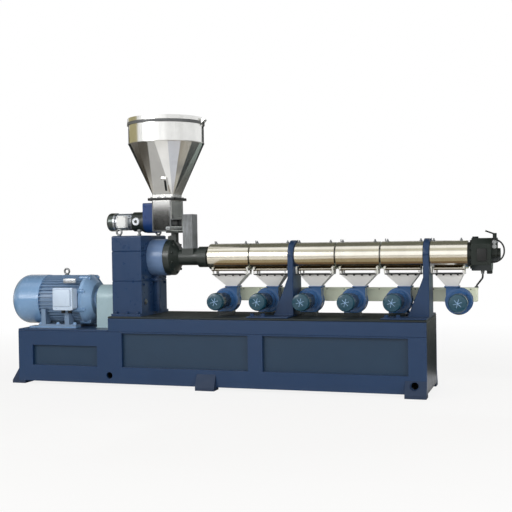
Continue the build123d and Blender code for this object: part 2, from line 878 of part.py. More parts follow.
with BuildPart() as hopper_lid:
    with BuildSketch(level_plane(lid_low)):
        with Locations((hopper_station, 0)):
            Circle(lid_radius)
    extrude(amount=lid_height)
    with BuildSketch(level_plane(lid_low)):
        with Locations((hopper_station, 0)):
            Circle(lid_radius - lid_sheet)
    extrude(amount=lid_height - lid_sheet, mode=Mode.SUBTRACT)
    with BuildSketch(side_plane(0)):
        leaf_start = hopper_station + lid_radius - lid_sheet
        with Locations((hinge_station, hinge_height)):
            Circle(hinge_knuckle_radius)
        with Locations(((leaf_start + hinge_station) / 2, hinge_height + hinge_knuckle_radius / 2)):
            Rectangle(hinge_station - leaf_start, hinge_knuckle_radius)
        with Locations((hinge_station, hinge_height)):
            Circle(hinge_pin_radius + pin_gap, mode=Mode.SUBTRACT)
    extrude(amount=hinge_leaf_half, both=True)
    with BuildLine(side_plane(0)) as bar_path:
        bar_low = lid_top - lid_sheet / 2
        bar_high = lid_top + lid_bar_height - lid_bar_radius
        FilletPolyline(
            (hopper_station - lid_bar_half, bar_low),
            (hopper_station - lid_bar_half, bar_high),
            (hopper_station + lid_bar_half, bar_high),
            (hopper_station + lid_bar_half, bar_low),
            radius=lid_bar_round,
        )
    with BuildSketch(Plane(origin=bar_path.line @ 0, z_dir=bar_path.line % 0)):
        Circle(lid_bar_radius)
    sweep(path=bar_path.line)
save(hopper_lid, "hopper_lid")

# Barrel and its heater covers, each with a flat saddle flange and an air slot underneath
cover_sheet = 5
seam_gap = 14
saddle_half = 76
saddle_neck_half = 40
saddle_drop = 8
saddle_inset = 26
vent_half_width = 30
vent_inset = 90

support_gap = support_neck + 2 * support_clearance
edge_gaps = [0, seam_gap, support_gap, seam_gap, seam_gap, support_gap, 0]
saddle_low = barrel_axis - cover_radius - saddle_drop
cover_spans = [
    (zone_edges[n] + edge_gaps[n] / 2, zone_edges[n + 1] - edge_gaps[n + 1] / 2)
    for n in range(zone_count)
]
with BuildPart() as barrel_tube:
    with BuildSketch(cross_plane(neck_flange_end)):
        with Locations((0, barrel_axis)):
            Circle(barrel_radius)
    extrude(amount=cover_end - neck_flange_end)
save(barrel_tube, "barrel_tube")

with BuildPart() as heater_covers:
    for left, right in cover_spans:
        with BuildSketch(cross_plane(left)):
            with Locations((0, barrel_axis)):
                Circle(cover_radius)
        extrude(amount=right - left)
        with BuildSketch(level_plane(saddle_low)):
            with Locations(((left + right) / 2, 0)):
                Rectangle(right - left - 2 * saddle_inset, 2 * saddle_half)
        extrude(amount=saddle_drop)
        with BuildSketch(level_plane(saddle_low)):
            with Locations(((left + right) / 2, 0)):
                Rectangle(right - left - 2 * saddle_inset, 2 * saddle_neck_half)
        extrude(amount=barrel_axis - saddle_low)
        with BuildSketch(cross_plane(left + cover_sheet)):
            with Locations((0, barrel_axis)):
                Circle(cover_radius - cover_sheet)
        extrude(amount=right - left - 2 * cover_sheet, mode=Mode.SUBTRACT)
        with BuildSketch(cross_plane(left)):
            with Locations((0, barrel_axis)):
                Circle(barrel_radius + fit_gap)
        extrude(amount=right - left, mode=Mode.SUBTRACT)
        with BuildSketch(level_plane(saddle_low)):
            with Locations(((left + right) / 2, 0)):
                Rectangle(right - left - 2 * vent_inset, 2 * vent_half_width)
        extrude(amount=cover_radius - cover_sheet, mode=Mode.SUBTRACT)
save(heater_covers, "heater_covers")

# Barrel supports: front and rear gusset plates on foot strips, a web under the barrel, a round cap over it
support_half = 130
support_plate = 20
support_flare_low = 150
support_flare_mid = 62
support_mid_share = 0.43
support_neck_share = 0.645
support_strip_lead = 330
support_strip_margin = 18
support_strip_height = 12

support_mid_height = high_deck_top + support_mid_share * (barrel_axis - high_deck_top)
support_neck_height = high_deck_top + support_neck_share * (barrel_axis - high_deck_top)
web_half = support_neck / 2
strip_inner = support_half - support_plate
strip_outer = base_width / 2 - support_strip_margin
with BuildPart() as barrel_supports:
    for station in support_stations:
        for side in (-1, 1):
            with BuildSketch(side_plane(side * (support_half - support_plate / 2))):
                with BuildLine():
                    Polyline(
                        (station + web_half, high_deck_top),
                        (station + web_half, barrel_axis),
                        (station - web_half, barrel_axis),
                        (station - web_half, support_neck_height),
                        (station - support_flare_mid, support_mid_height),
                        (station - support_flare_low, high_deck_top),
                        close=True,
                    )
                make_face()
            extrude(amount=support_plate / 2, both=True)
            with BuildSketch(level_plane(high_deck_top)):
                with Locations(
                    (station + (web_half - support_strip_lead) / 2, side * (strip_inner + strip_outer) / 2)
                ):
                    Rectangle(support_strip_lead + web_half, strip_outer - strip_inner)
            extrude(amount=support_strip_height)
        with BuildSketch(cross_plane(station - web_half)):
            with Locations((0, (high_deck_top + barrel_axis) / 2)):
                Rectangle(2 * support_half - support_plate, barrel_axis - high_deck_top)
            with Locations((0, barrel_axis)):
                Circle(barrel_radius + fit_gap, mode=Mode.SUBTRACT)
        extrude(amount=support_neck)
save(barrel_supports, "barrel_supports")

with BuildPart() as support_caps:
    for station in support_stations:
        with BuildSketch(cross_plane(station - web_half)):
            with Locations((0, barrel_axis)):
                Circle(support_half)
                Circle(barrel_radius + fit_gap, mode=Mode.SUBTRACT)
            with Locations((0, barrel_axis - support_half / 2)):
                Rectangle(2 * support_half, support_half, mode=Mode.SUBTRACT)
        extrude(amount=support_neck)
save(support_caps, "support_caps")

# Cooling blowers: scroll, motor on the operating side, hood up to the cover
blower_rise = 125
scroll_radius = 102
scroll_shift = 14
blower_offset = 66
last_outlet_shift = 28
blower_half = 45
blower_middle = 30
outlet_width = 90
outlet_rise = 110
outlet_flange_lap = 12
outlet_flange_height = 8
blower_foot_length = 130
blower_foot_rise = 50
blower_motor_radius = 64
blower_motor_length = 240
blower_cap_radius = 72
blower_cap_length = 78
blower_cap_round = 18
blower_plate_radius = 84
blower_plate_length = 12
hood_sheet = 4
hood_half = 66
hood_flange_lap = 10
hood_flange_height = 6
hood_inset = 34
hood_stud_radius = 6
hood_stud_length = 27

blower_axis = high_deck_top + blower_rise
outlet_top = blower_axis + outlet_rise
hood_low = outlet_top + outlet_flange_height
hood_high = saddle_low - hood_stud_length - hood_flange_height
blower_front = blower_middle - blower_half
outlet_stations = [(left + right) / 2 for left, right in zip(zone_edges, zone_edges[1:])]
outlet_stations[-1] += last_outlet_shift
blower_hands = [-1] * (zone_count - 1) + [1]
blower_stations = [outlet + hand * blower_offset for outlet, hand in zip(outlet_stations, blower_hands)]

with BuildPart() as blower_scrolls:
    for station, outlet, hand in zip(blower_stations, outlet_stations, blower_hands):
        with BuildSketch(side_plane(blower_middle)):
            with Locations((station - hand * scroll_shift, blower_axis)):
                Circle(scroll_radius)
            with Locations((outlet, (blower_axis + outlet_top) / 2)):
                Rectangle(outlet_width, outlet_rise)
            if hand < 0:
                with Locations((station, high_deck_top + blower_foot_rise / 2)):
                    Rectangle(blower_foot_length, blower_foot_rise)
        extrude(amount=blower_half, both=True)
        with BuildSketch(level_plane(outlet_top)):
            with Locations((outlet, blower_middle)):
                Rectangle(outlet_width + 2 * outlet_flange_lap, 2 * (blower_half + outlet_flange_lap))
        extrude(amount=outlet_flange_height)
save(blower_scrolls, "blower_scrolls")

with BuildPart() as blower_motors:
    for station in blower_stations:
        with BuildSketch(side_plane(blower_front)):
            with Locations((station, blower_axis)):
                Circle(blower_plate_radius)
        extrude(amount=blower_plate_length)
        with BuildSketch(side_plane(blower_front)):
            with Locations((station, blower_axis)):
                Circle(blower_motor_radius)
        extrude(amount=blower_motor_length - blower_cap_length)
        with BuildSketch(side_plane(blower_front - blower_motor_length + blower_cap_length)):
            with Locations((station, blower_axis)):
                Circle(blower_cap_radius)
        extrude(amount=blower_cap_length)
    fillet(blower_motors.edges().group_by(Axis.Y)[0], blower_cap_round)
save(blower_motors, "blower_motors")

with BuildPart() as air_hoods:
    for outlet, (left, right) in zip(outlet_stations, cover_spans):
        hood_length = right - left - 2 * hood_inset
        hood_station = (left + right) / 2
        with BuildSketch(level_plane(hood_low)):
            with Locations((outlet, blower_middle)):
                Rectangle(outlet_width, 2 * blower_half)
        with BuildSketch(level_plane(hood_high)):
            with Locations((hood_station, 0)):
                Rectangle(hood_length, 2 * hood_half)
        loft(ruled=True)
        with BuildSketch(level_plane(hood_high)):
            with Locations((hood_station, 0)):
                Rectangle(hood_length + 2 * hood_flange_lap, 2 * (hood_half + hood_flange_lap))
        extrude(amount=hood_flange_height)
        with BuildSketch(level_plane(hood_low)):
            with Locations((outlet, blower_middle)):
                Rectangle(outlet_width - 2 * hood_sheet, 2 * (blower_half - hood_sheet))
        with BuildSketch(level_plane(hood_high)):
            with Locations((hood_station, 0)):
                Rectangle(hood_length - 2 * hood_sheet, 2 * (hood_half - hood_sheet))
        loft(ruled=True, mode=Mode.SUBTRACT)
        with BuildSketch(level_plane(hood_high)):
            with Locations((hood_station, 0)):
                Rectangle(hood_length - 2 * hood_sheet, 2 * (hood_half - hood_sheet))
        extrude(amount=hood_flange_height, mode=Mode.SUBTRACT)
        with BuildSketch(level_plane(hood_high)):
            with Locations((hood_station, 0)):
                with GridLocations(hood_length, 2 * hood_half, 2, 2):
                    Circle(hood_stud_radius)
        extrude(amount=saddle_low - hood_high)
save(air_hoods, "air_hoods")

# Wiring duct behind the blowers, on brackets from the blowers
duct_lead = 189
duct_tail = 56
duct_gap = 5
duct_depth = 80
duct_rise = 112
duct_height = 108
bracket_length = 64
bracket_height = 60

duct_start = cover_start + duct_lead
duct_end = cover_end + duct_tail
duct_front = support_half + duct_gap
duct_low = high_deck_top + duct_rise
duct_top = duct_low + duct_height
duct_y = duct_front + duct_depth / 2
with BuildPart() as wiring_duct:
    with BuildSketch(level_plane(duct_low)):
        with Locations(((duct_start + duct_end) / 2, duct_y)):
            Rectangle(duct_end - duct_start, duct_depth)
    extrude(amount=duct_height)
save(wiring_duct, "wiring_duct")

with BuildPart() as duct_brackets:
    with BuildSketch(side_plane(duct_front)):
        with Locations(*[(station, duct_low + duct_height / 2) for station in blower_stations]):
            Rectangle(bracket_length, bracket_height)
    extrude(amount=duct_front - blower_middle - blower_half)
save(duct_brackets, "duct_brackets")

# Die end: barrel flange, eight-sided die block, clamp with a square head, nozzle, clamp screw, leads
head_flange_radius = 96
die_block_half = 125
die_block_corner = 45
die_foot_length = 40
die_foot_half = 36
die_foot_drop = 26
clamp_radius = 62
clamp_reach = 126
nozzle_radius = 46
die_bore_radius = 25
screw_radius = 15
screw_height = 36
screw_drop = 8
lever_radius = 6
lever_reach = 70
lever_rise = 26
lead_radius = 6
lead_y = 80
lead_half = 88
lead_rise = 27
lead_bend = 84
conduit_radius = 7
conduit_bend = 26
conduit_inset = 9
conduit_start_rise = 18
conduit_end_drop = 60
conduit_reach = 56
conduit_end_y = 70

with BuildPart() as barrel_flange:
    with BuildSketch(cross_plane(cover_end)):
        with Locations((0, barrel_axis)):
            Circle(head_flange_radius)
    extrude(amount=head_flange_length)
save(barrel_flange, "barrel_flange")

die_block_low = barrel_axis - die_block_half
with BuildPart() as die_block:
    with BuildSketch(cross_plane(head_flange_end)):
        with Locations((0, barrel_axis)):
            block_face = Rectangle(2 * die_block_half, 2 * die_block_half)
        chamfer(block_face.vertices(), die_block_corner)
    extrude(amount=die_block_length)
    with BuildSketch(level_plane(die_block_low - die_foot_drop)):
        with Locations((die_block_end - die_foot_length / 2, 0)):
            Rectangle(die_foot_length, 2 * die_foot_half)
    extrude(amount=die_block_half)
save(die_block, "die_block")

with BuildPart() as clamp_ring:
    with BuildSketch(cross_plane(die_block_end)):
        with Locations((0, barrel_axis + clamp_reach / 2)):
            Rectangle(2 * clamp_radius, clamp_reach)
        with Locations((0, barrel_axis)):
            Circle(clamp_radius)
            Circle(die_bore_radius, mode=Mode.SUBTRACT)
    extrude(amount=clamp_length)
save(clamp_ring, "clamp_ring")

with BuildPart() as die_nozzle:
    with BuildSketch(cross_plane(clamp_end)):
        with Locations((0, barrel_axis)):
            Circle(nozzle_radius)
            Circle(die_bore_radius, mode=Mode.SUBTRACT)
    extrude(amount=nozzle_length)
save(die_nozzle, "die_nozzle")

screw_station = (die_block_end + clamp_end) / 2
screw_low = barrel_axis + clamp_reach
screw_grip = screw_low + screw_height - screw_drop
with BuildPart() as clamp_screw:
    with BuildSketch(level_plane(screw_low)):
        with Locations((screw_station, 0)):
            Circle(screw_radius)
    extrude(amount=screw_height)
    with BuildLine(side_plane(0)) as lever_path:
        Line((screw_station, screw_grip), (screw_station - lever_reach, screw_grip + lever_rise))
    with BuildSketch(Plane(origin=lever_path.line @ 0, z_dir=lever_path.line % 0)):
        Circle(lever_radius)
    sweep(path=lever_path.line)
save(clamp_screw, "clamp_screw")

with BuildPart() as heater_lead:
    with BuildLine(side_plane(-lead_y)) as lead_path:
        lead_axis = barrel_axis + lead_rise
        FilletPolyline(
            (die_block_end, lead_axis + lead_half),
            (right_end - lead_radius, lead_axis + lead_half),
            (right_end - lead_radius, lead_axis - lead_half),
            (die_block_end, lead_axis - lead_half),
            radius=lead_bend,
        )
    with BuildSketch(Plane(origin=lead_path.line @ 0, z_dir=lead_path.line % 0)):
        Circle(lead_radius)
    sweep(path=lead_path.line)
save(heater_lead, "heater_lead")

conduit_start = along(duct_end - conduit_inset)
conduit_end = conduit_start + conduit_reach
with BuildPart() as head_conduit:
    with BuildLine() as conduit_path:
        FilletPolyline(
            (conduit_start, duct_y, duct_top),
            (conduit_start, duct_y, duct_top + conduit_start_rise),
            (conduit_end, conduit_end_y, die_block_low - conduit_end_drop),
            (conduit_end, conduit_end_y, die_block_low),
            radius=conduit_bend,
        )
    with BuildSketch(Plane(origin=conduit_path.line @ 0, z_dir=conduit_path.line % 0)):
        Circle(conduit_radius)
    sweep(path=conduit_path.line)
save(head_conduit, "head_conduit")
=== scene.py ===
"""Finishes, fasteners, stage and camera for a single-screw food extruder, in metres.

X runs from the drive motor to the die, Y from the operating side to the rear, Z is up.
"""

import json
from math import atan, cos, pi, radians, sin

import bmesh
import bpy
from bpy.props import FloatProperty, FloatVectorProperty, IntProperty, PointerProperty
from bpy.types import Operator, Panel, PropertyGroup
from mathutils import Matrix, Vector


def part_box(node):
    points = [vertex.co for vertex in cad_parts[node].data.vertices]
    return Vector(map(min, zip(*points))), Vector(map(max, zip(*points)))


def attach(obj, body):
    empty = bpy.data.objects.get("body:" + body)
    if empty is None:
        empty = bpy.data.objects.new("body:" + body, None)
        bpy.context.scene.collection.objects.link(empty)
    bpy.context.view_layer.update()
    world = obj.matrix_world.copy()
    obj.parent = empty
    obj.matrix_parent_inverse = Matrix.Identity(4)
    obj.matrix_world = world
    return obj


bl_info = {
    "name": "Food extruder",
    "version": (1, 0, 0),
    "blender": (4, 5, 0),
    "location": "3D View > Sidebar > Extruder",
    "description": "Finishes, fasteners and stage for a single-screw food extruder",
    "category": "Object",
}

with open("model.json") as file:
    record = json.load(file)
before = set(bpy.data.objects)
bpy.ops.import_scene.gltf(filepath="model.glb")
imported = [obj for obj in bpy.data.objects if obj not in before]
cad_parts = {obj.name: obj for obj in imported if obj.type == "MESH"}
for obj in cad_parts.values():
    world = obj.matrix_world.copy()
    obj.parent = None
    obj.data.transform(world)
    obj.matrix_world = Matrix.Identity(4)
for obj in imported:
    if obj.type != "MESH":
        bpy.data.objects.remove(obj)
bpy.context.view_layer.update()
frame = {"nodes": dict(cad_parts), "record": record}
FRONT = Vector((0, -1, 0))
REAR = Vector((0, 1, 0))
UP = Vector((0, 0, 1))
DOWN = Vector((0, 0, -1))
DIEWARD = Vector((1, 0, 0))
DRIVEWARD = Vector((-1, 0, 0))

# Turned shapes, as pairs of radius and height along the axis.
SHIELD_LUG = [(0, -0.040), (0.022, -0.040), (0.022, 0.036), (0.018, 0.040), (0, 0.040)]
MOTOR_GLAND = [(0, 0), (0.021, 0), (0.021, 0.012), (0.017, 0.014), (0.017, 0.030), (0.012, 0.036), (0, 0.036)]
BREATHER = [(0, 0), (0.016, 0), (0.016, 0.012), (0.011, 0.014), (0.011, 0.03), (0.019, 0.034)]
BREATHER += [(0.019, 0.05), (0, 0.054)]
SIGHT_PLUG = [(0, 0), (0.024, 0), (0.024, 0.006), (0.014, 0.008), (0.014, 0.014), (0, 0.014)]
REDUCER_FACE = [(0.014, -0.02), (0.014, 0.012), (0.032, 0.012), (0.036, 0.008), (0.036, -0.03)]
REDUCER_HUB = [(0, 0.002), (0.0135, 0.002), (0.0135, -0.02)]
COVER_STUD = [(0, -0.004), (0.011, -0.004), (0.011, 0.006), (0.006, 0.008), (0.006, 0.018), (0, 0.020)]
CAP_DOME = [(0.066, -0.004), (0.068, 0.002), (0.065, 0.006), (0.052, 0.0095), (0.028, 0.0115), (0, 0.012)]
SCROLL_RIM = [(0.088, 0.0005), (0.0995, 0.0005), (0.1055, -0.0015), (0.1055, -0.0055), (0.1015, -0.0065)]
CONDUIT_BORE = 0.007
CONDUIT_GLAND = [(CONDUIT_BORE, 0), (0.015, 0), (0.015, 0.012), (0.0125, 0.014), (0.0125, 0.026)]
CONDUIT_GLAND += [(CONDUIT_BORE, 0.032)]

# Area lamps: name, place, aim, size and power.
LAMPS = (
    ("key", (-3.6, -6.2, 3.8), (0.2, 0, 0.9), (3.4, 2.6), 170),
    ("front_fill", (1.5, -8.0, 4.6), (0.0, 0, 0.9), (6.0, 2.0), 60),
    ("low_fill", (1.2, -8.5, 1.3), (0.3, 0, 0.9), (6.0, 1.4), 70),
    ("side_fill", (6.5, -3.5, 3.4), (0.3, 0, 0.9), (2.6, 2.6), 140),
    ("rear_fill", (-1.0, 6.5, 4.5), (0.0, 0, 0.9), (5.0, 2.0), 50),
)
# Reflection cards: name, low corner, high corner, colour and strength.
CARDS = (
    ("front_left_card", (-14, -9, 0), (-4.05, -9, 1.90), "#0A0C0A", 1),
    ("motor_window_card", (-7.0, -6.2, 1.3), (-5.3, -6.2, 3.2), "#FFFFFF", 5),
    ("front_soft_card", (-10, -9.2, 0.95), (3, -9.2, 6.2), "#FFFFFF", 1.2),
    ("front_high_card", (-10, -4.5, 4.4), (6, -4.5, 8), "#C9C7B9", 1),
    ("rear_low_card", (-14, 5, 0), (1.2, 5, 3.2), "#1C2020", 1),
    ("rear_middle_card", (1.2, 5, 0.24), (1.68, 5, 1.0), "#C8D8D0", 1),
    ("rear_gap_card", (1.68, 5, 0.0), (2.4, 5, 1.15), "#15191A", 1),
    ("rear_right_card", (2.4, 5, 0.24), (14, 5, 1.0), "#C8D8D0", 1),
    ("rear_right_high_card", (1.2, 5, 1.0), (14, 5, 1.5), "#9A9E9C", 1),
    ("rear_right_top_card", (1.2, 5, 1.5), (14, 5, 1.95), "#565A58", 1),
    ("rear_floor_card", (1.6, 0.9, 0.01), (2.12, 5, 0.01), "#15191A", 1),
    ("rear_floor_right_card", (2.12, 0.9, 0.01), (3.4, 5, 0.01), "#3A3F40", 1),
    ("ceiling_card", (-14, -0.6, 6), (14, 8, 6), "#6A6B60", 1),
    ("front_beam", (-14, -4.5, 4.05), (14, -4.5, 4.4), "#9A9A90", 1),
    ("left_card", (-8, -2.5, 1.9), (-8, 5, 6), "#ADA47C", 1),
    ("left_floor_card", (-8, -2.6, 0.01), (-3.2, 4, 0.01), "#3B352C", 1),
    ("right_card", (8, -6, 0), (8, 5, 2.3), "#4A4E4C", 1),
    ("front_floor_card", (0.0, -2.7, 0.01), (3.4, -0.9, 0.01), "#8A765C", 1),
    ("barrel_card", (-0.27, -0.19, 0.90), (1.85, -0.115, 0.90), "#6A563F", 1),
    ("barrel_front_card", (-0.27, -0.42, 0.90), (1.85, -0.19, 0.90), "#9C9074", 1),
    ("cone_floor_card", (-2.5, -2.7, 0.011), (-1.2, -1.3, 0.011), "#B9B8B6", 1),
    ("left_spot_card", (-0.85, -2.5, 0.012), (-0.1, -1.6, 0.012), "#FFFFFF", 1),
    ("right_spot_card", (0.7, -2.2, 0.012), (1.6, -1.1, 0.012), "#DADEE8", 1),
    ("right_floor_card", (1.6, -1.4, 0.012), (3.2, 0.8, 0.012), "#F6F8FF", 1),
)


def linear(code):
    """Linear colour of an sRGB hex code."""
    parts = [int(code[n : n + 2], 16) / 255 for n in (1, 3, 5)]
    return tuple(p / 12.92 if p <= 0.04045 else ((p + 0.055) / 1.055) ** 2.4 for p in parts)


def colour(name, code, description):
    """A colour that the sidebar shows."""
    return FloatVectorProperty(
        name=name, description=description, subtype="COLOR", size=3, min=0, max=1, default=linear(code)
    )


def length(name, metres, description):
    """A length that the sidebar shows."""
    return FloatProperty(name=name, description=description, unit="LENGTH", default=metres)


class ExtruderColours(PropertyGroup):
    """Colours of the finishes."""

    base: colour("Base", "#1D395D", "Navy enamel of the base and the barrel supports")
    panel: colour("Panels", "#1F3850", "Navy enamel of the recessed panels")
    motor: colour("Motor", "#7BA1CA", "Steel-blue enamel of the drive motor")
    fins: colour("Motor fins", "#7A94B2", "Greyer blue enamel of the finned motor body")
    # The shield's lighter blue is painted light: it lightens the motor's blue on the shield, which faces away
    # from the key lamp.
    shield: colour("Motor shield", "#92B6DC", "Lighter blue enamel of the drive-end shield")
    # The decks' colour is darkened as painted shade: the shade under the barrel and blowers is painted into
    # the enamel.
    deck: colour("Decks", "#1A2426", "Dark oily enamel of the decks")
    # The end plates' near-black is painted shade: the base's right end faces away from the key lamp.
    end_plate: colour("Base ends", "#0E1718", "Dark enamel of the base's end plates")
    # The feet are painted darker than the base as painted shade, which holds back the light their sloping
    # faces catch.
    foot: colour("Feet", "#1D304B", "Navy enamel of the feet")
    # The thrust housing carries the gearbox's blue made much lighter, as a painted highlight for its sheen.
    thrust: colour("Thrust housing", "#6680A6", "Light blue enamel of the thrust housing")
    terminal: colour("Terminal boxes", "#C9DAEE", "Pale grey enamel of the terminal boxes")
    guard: colour("Guard", "#AEC8D0", "Pale blue enamel of the coupling guard")
    gearbox: colour("Gearbox", "#1E395D", "Blue enamel of the gearbox")
    chain_guard: colour("Chain guard", "#173A73", "Bright blue enamel of the chain guard")
    casting: colour("Castings", "#1B2421", "Blackened cast iron of the feed section and die head")
    stainless: colour("Stainless sheet", "#EAEAE8", "Brushed stainless steel of the hopper")
    cover: colour("Heater covers", "#F0ECE0", "Polished stainless steel of the heater covers")
    # Everything of the covers below their round bottom, on the saddles, is coloured dark brown.
    scale: colour("Heat scale", "#574C37", "Dark heat scale on the saddles under the covers")
    stack: colour("Vent stack", "#7A7E81", "Grey galvanised sheet of the vent stack")
    aluminium: colour("Aluminium", "#B9BDC2", "Die-cast aluminium of the feeder motor")
    blower: colour("Blowers", "#28588C", "Bright blue enamel of the blower scrolls")
    blower_body: colour("Blower motors", "#1A2429", "Blackened enamel of the blower motors' bodies")
    blower_cap: colour("Blower caps", "#184659", "Teal enamel of the blower motors' fan caps")
    hood: colour("Hoods", "#F4F4F2", "White-grey enamel of the air hoods")
    # The duct's near-white is painted light: its pale green is lightened to make up for the shade it lies in,
    # behind the blowers and under the barrel.
    duct: colour("Wiring duct", "#EEFADC", "Pale green enamel of the wiring duct")
    dust: colour("Dust", "#8C8676", "Dry meal dust that settles on level faces")
    floor: colour("Floor", "#DAD5CB", "Pale screed under the machine")


class ExtruderSizes(PropertyGroup):
    """Sizes of the fasteners and fittings, and the spacing they follow."""

    large_bolt: length("Large bolts", 0.030, "Width across the flats of the housing bolts")
    small_bolt: length("Small bolts", 0.017, "Width across the flats of the flange bolts")
    screw: length("Screws", 0.010, "Width across the flats of the lid screws")
    edge_round: length("Edge rounding", 0.005, "Rounding of the plate edges")
    zone_pitch: length("Zone pitch", 0.363, "Distance between the seams of the heater covers")
    zone_count: IntProperty(name="Zones", description="Number of heater covers", default=6)
    blower_offset: length("Blower offset", 0.066, "From a blower's outlet to its shaft")
    last_outlet_shift: length("Last outlet shift", 0.028, "How far the last outlet sits towards the die")
    cap_length: length("Fan cap", 0.045, "Length of a blower motor's fan cap")
    stud_inset: length("Stud inset", 0.050, "From a cover's end to its studs")
    sleeve_radius: length("Lead sleeve", 0.008, "Radius of the fibre sleeves over the heater leads")


def colours():
    return bpy.context.scene.extruder_colours


def sizes():
    return bpy.context.scene.extruder_sizes


def fill(tree, node, inputs):
    """Sets a node's inputs, or links them where a socket is given."""
    for socket, value in inputs.items():
        if isinstance(value, bpy.types.NodeSocket):
            tree.links.new(value, node.inputs[socket])
        else:
            node.inputs[socket].default_value = value


def add_node(tree, kind, inputs=None, **settings):
    """Adds a shader node with its settings, input values and links."""
    node = tree.nodes.new(kind)
    for name, value in settings.items():
        setattr(node, name, value)
    fill(tree, node, inputs or {})
    return node


def new_finish(name):
    """A material with its node tree, shader and object coordinates."""
    material = bpy.data.materials.new(name)
    material.use_nodes = True
    tree = material.node_tree
    tree.nodes.clear()
    shader = add_node(tree, "ShaderNodeBsdfPrincipled")
    add_node(tree, "ShaderNodeOutputMaterial", {"Surface": shader.outputs[0]})
    place = add_node(tree, "ShaderNodeTexCoord").outputs["Object"]
    return material, tree, shader, place


def tinted(shade, factor):
    """A colour made lighter or darker, with alpha."""
    return (*[min(1, part * factor) for part in shade], 1)


def mottled(tree, place, patch_mm, detail, roughness, shade, dark, light):
    """Noise in patches of a size, and a colour that it varies between a dark and a light tint."""
    patches = add_node(
        tree, "ShaderNodeTexNoise",
        {"Vector": place, "Scale": 1000 / patch_mm, "Detail": detail, "Roughness": roughness},
    ).outputs[0]
    skin = add_node(
        tree, "ShaderNodeMix", {0: patches, 6: tinted(shade, dark), 7: tinted(shade, light)}, data_type="RGBA"
    )
    return patches, skin


def second_tone(tree, spot, film, mask):
    """Another colour past a masked edge: the axis it lies on, its place, the side and the colour."""
    axis, edge, side, shade = mask
    past = add_node(
        tree, "ShaderNodeMath", {0: spot.outputs["XYZ".index(axis)], 1: edge},
        operation="GREATER_THAN" if side > 0 else "LESS_THAN",
    )
    return add_node(
        tree, "ShaderNodeMix", {0: past.outputs[0], 6: film.outputs[2], 7: (*shade, 1)}, data_type="RGBA"
    )


# Sprayed enamel on steel plate: an even film with a slight orange peel, a little cloudy over a
# hand's width, and dust where a face looks up or lies near the floor. The peel is drawn at 5 mm,
# coarser than it is, so that it shows.
def sprayed_enamel(name, shade, roughness, coat=0.0, masks=()):
    dust, peel_mm, cloud_mm, drift_mm, floor_reach = 0.10, 5, 420, 60, 0.08
    tree, shader, place = new_finish(name)[1:]
    film = mottled(tree, place, cloud_mm, 5, 0.6, shade, 0.84, 1.14)[1]
    spot = add_node(tree, "ShaderNodeSeparateXYZ", {0: place})
    for mask in masks:
        film = second_tone(tree, spot, film, mask)
    normal = add_node(tree, "ShaderNodeNewGeometry").outputs["Normal"]
    facing_up = add_node(tree, "ShaderNodeSeparateXYZ", {0: normal})
    level = add_node(tree, "ShaderNodeMapRange", {0: facing_up.outputs[2], 1: 0.5, 2: 1.0, 3: 0.0, 4: dust})
    near_floor = add_node(
        tree, "ShaderNodeMapRange", {0: spot.outputs[2], 1: 0.0, 2: floor_reach, 3: dust * 0.5, 4: 0.0}
    )
    settled = add_node(
        tree, "ShaderNodeMath", {0: level.outputs[0], 1: near_floor.outputs[0]}, operation="MAXIMUM"
    )
    drift = add_node(
        tree, "ShaderNodeTexNoise", {"Vector": place, "Scale": 1000 / drift_mm, "Detail": 6, "Roughness": 0.7}
    )
    patchy = add_node(
        tree, "ShaderNodeMath", {0: settled.outputs[0], 1: drift.outputs[0]}, operation="MULTIPLY"
    )
    dusted = add_node(
        tree, "ShaderNodeMix", {0: patchy.outputs[0], 6: film.outputs[2], 7: (*colours().dust, 1)},
        data_type="RGBA",
    )
    gloss = add_node(
        tree, "ShaderNodeMapRange",
        {0: drift.outputs[0], 1: 0.3, 2: 0.7, 3: roughness - 0.05, 4: roughness + 0.08},
    )
    peel = add_node(tree, "ShaderNodeTexNoise", {"Vector": place, "Scale": 1000 / peel_mm, "Detail": 1})
    bump = add_node(
        tree, "ShaderNodeBump", {"Strength": 0.06, "Distance": 0.0006, "Height": peel.outputs[0]}
    )
    fill(tree, shader, {
        "Base Color": dusted.outputs[2], "Roughness": gloss.outputs[0], "Normal": bump.outputs[0],
        "IOR": 1.42, "Coat Weight": coat, "Coat Roughness": 0.08,
    })


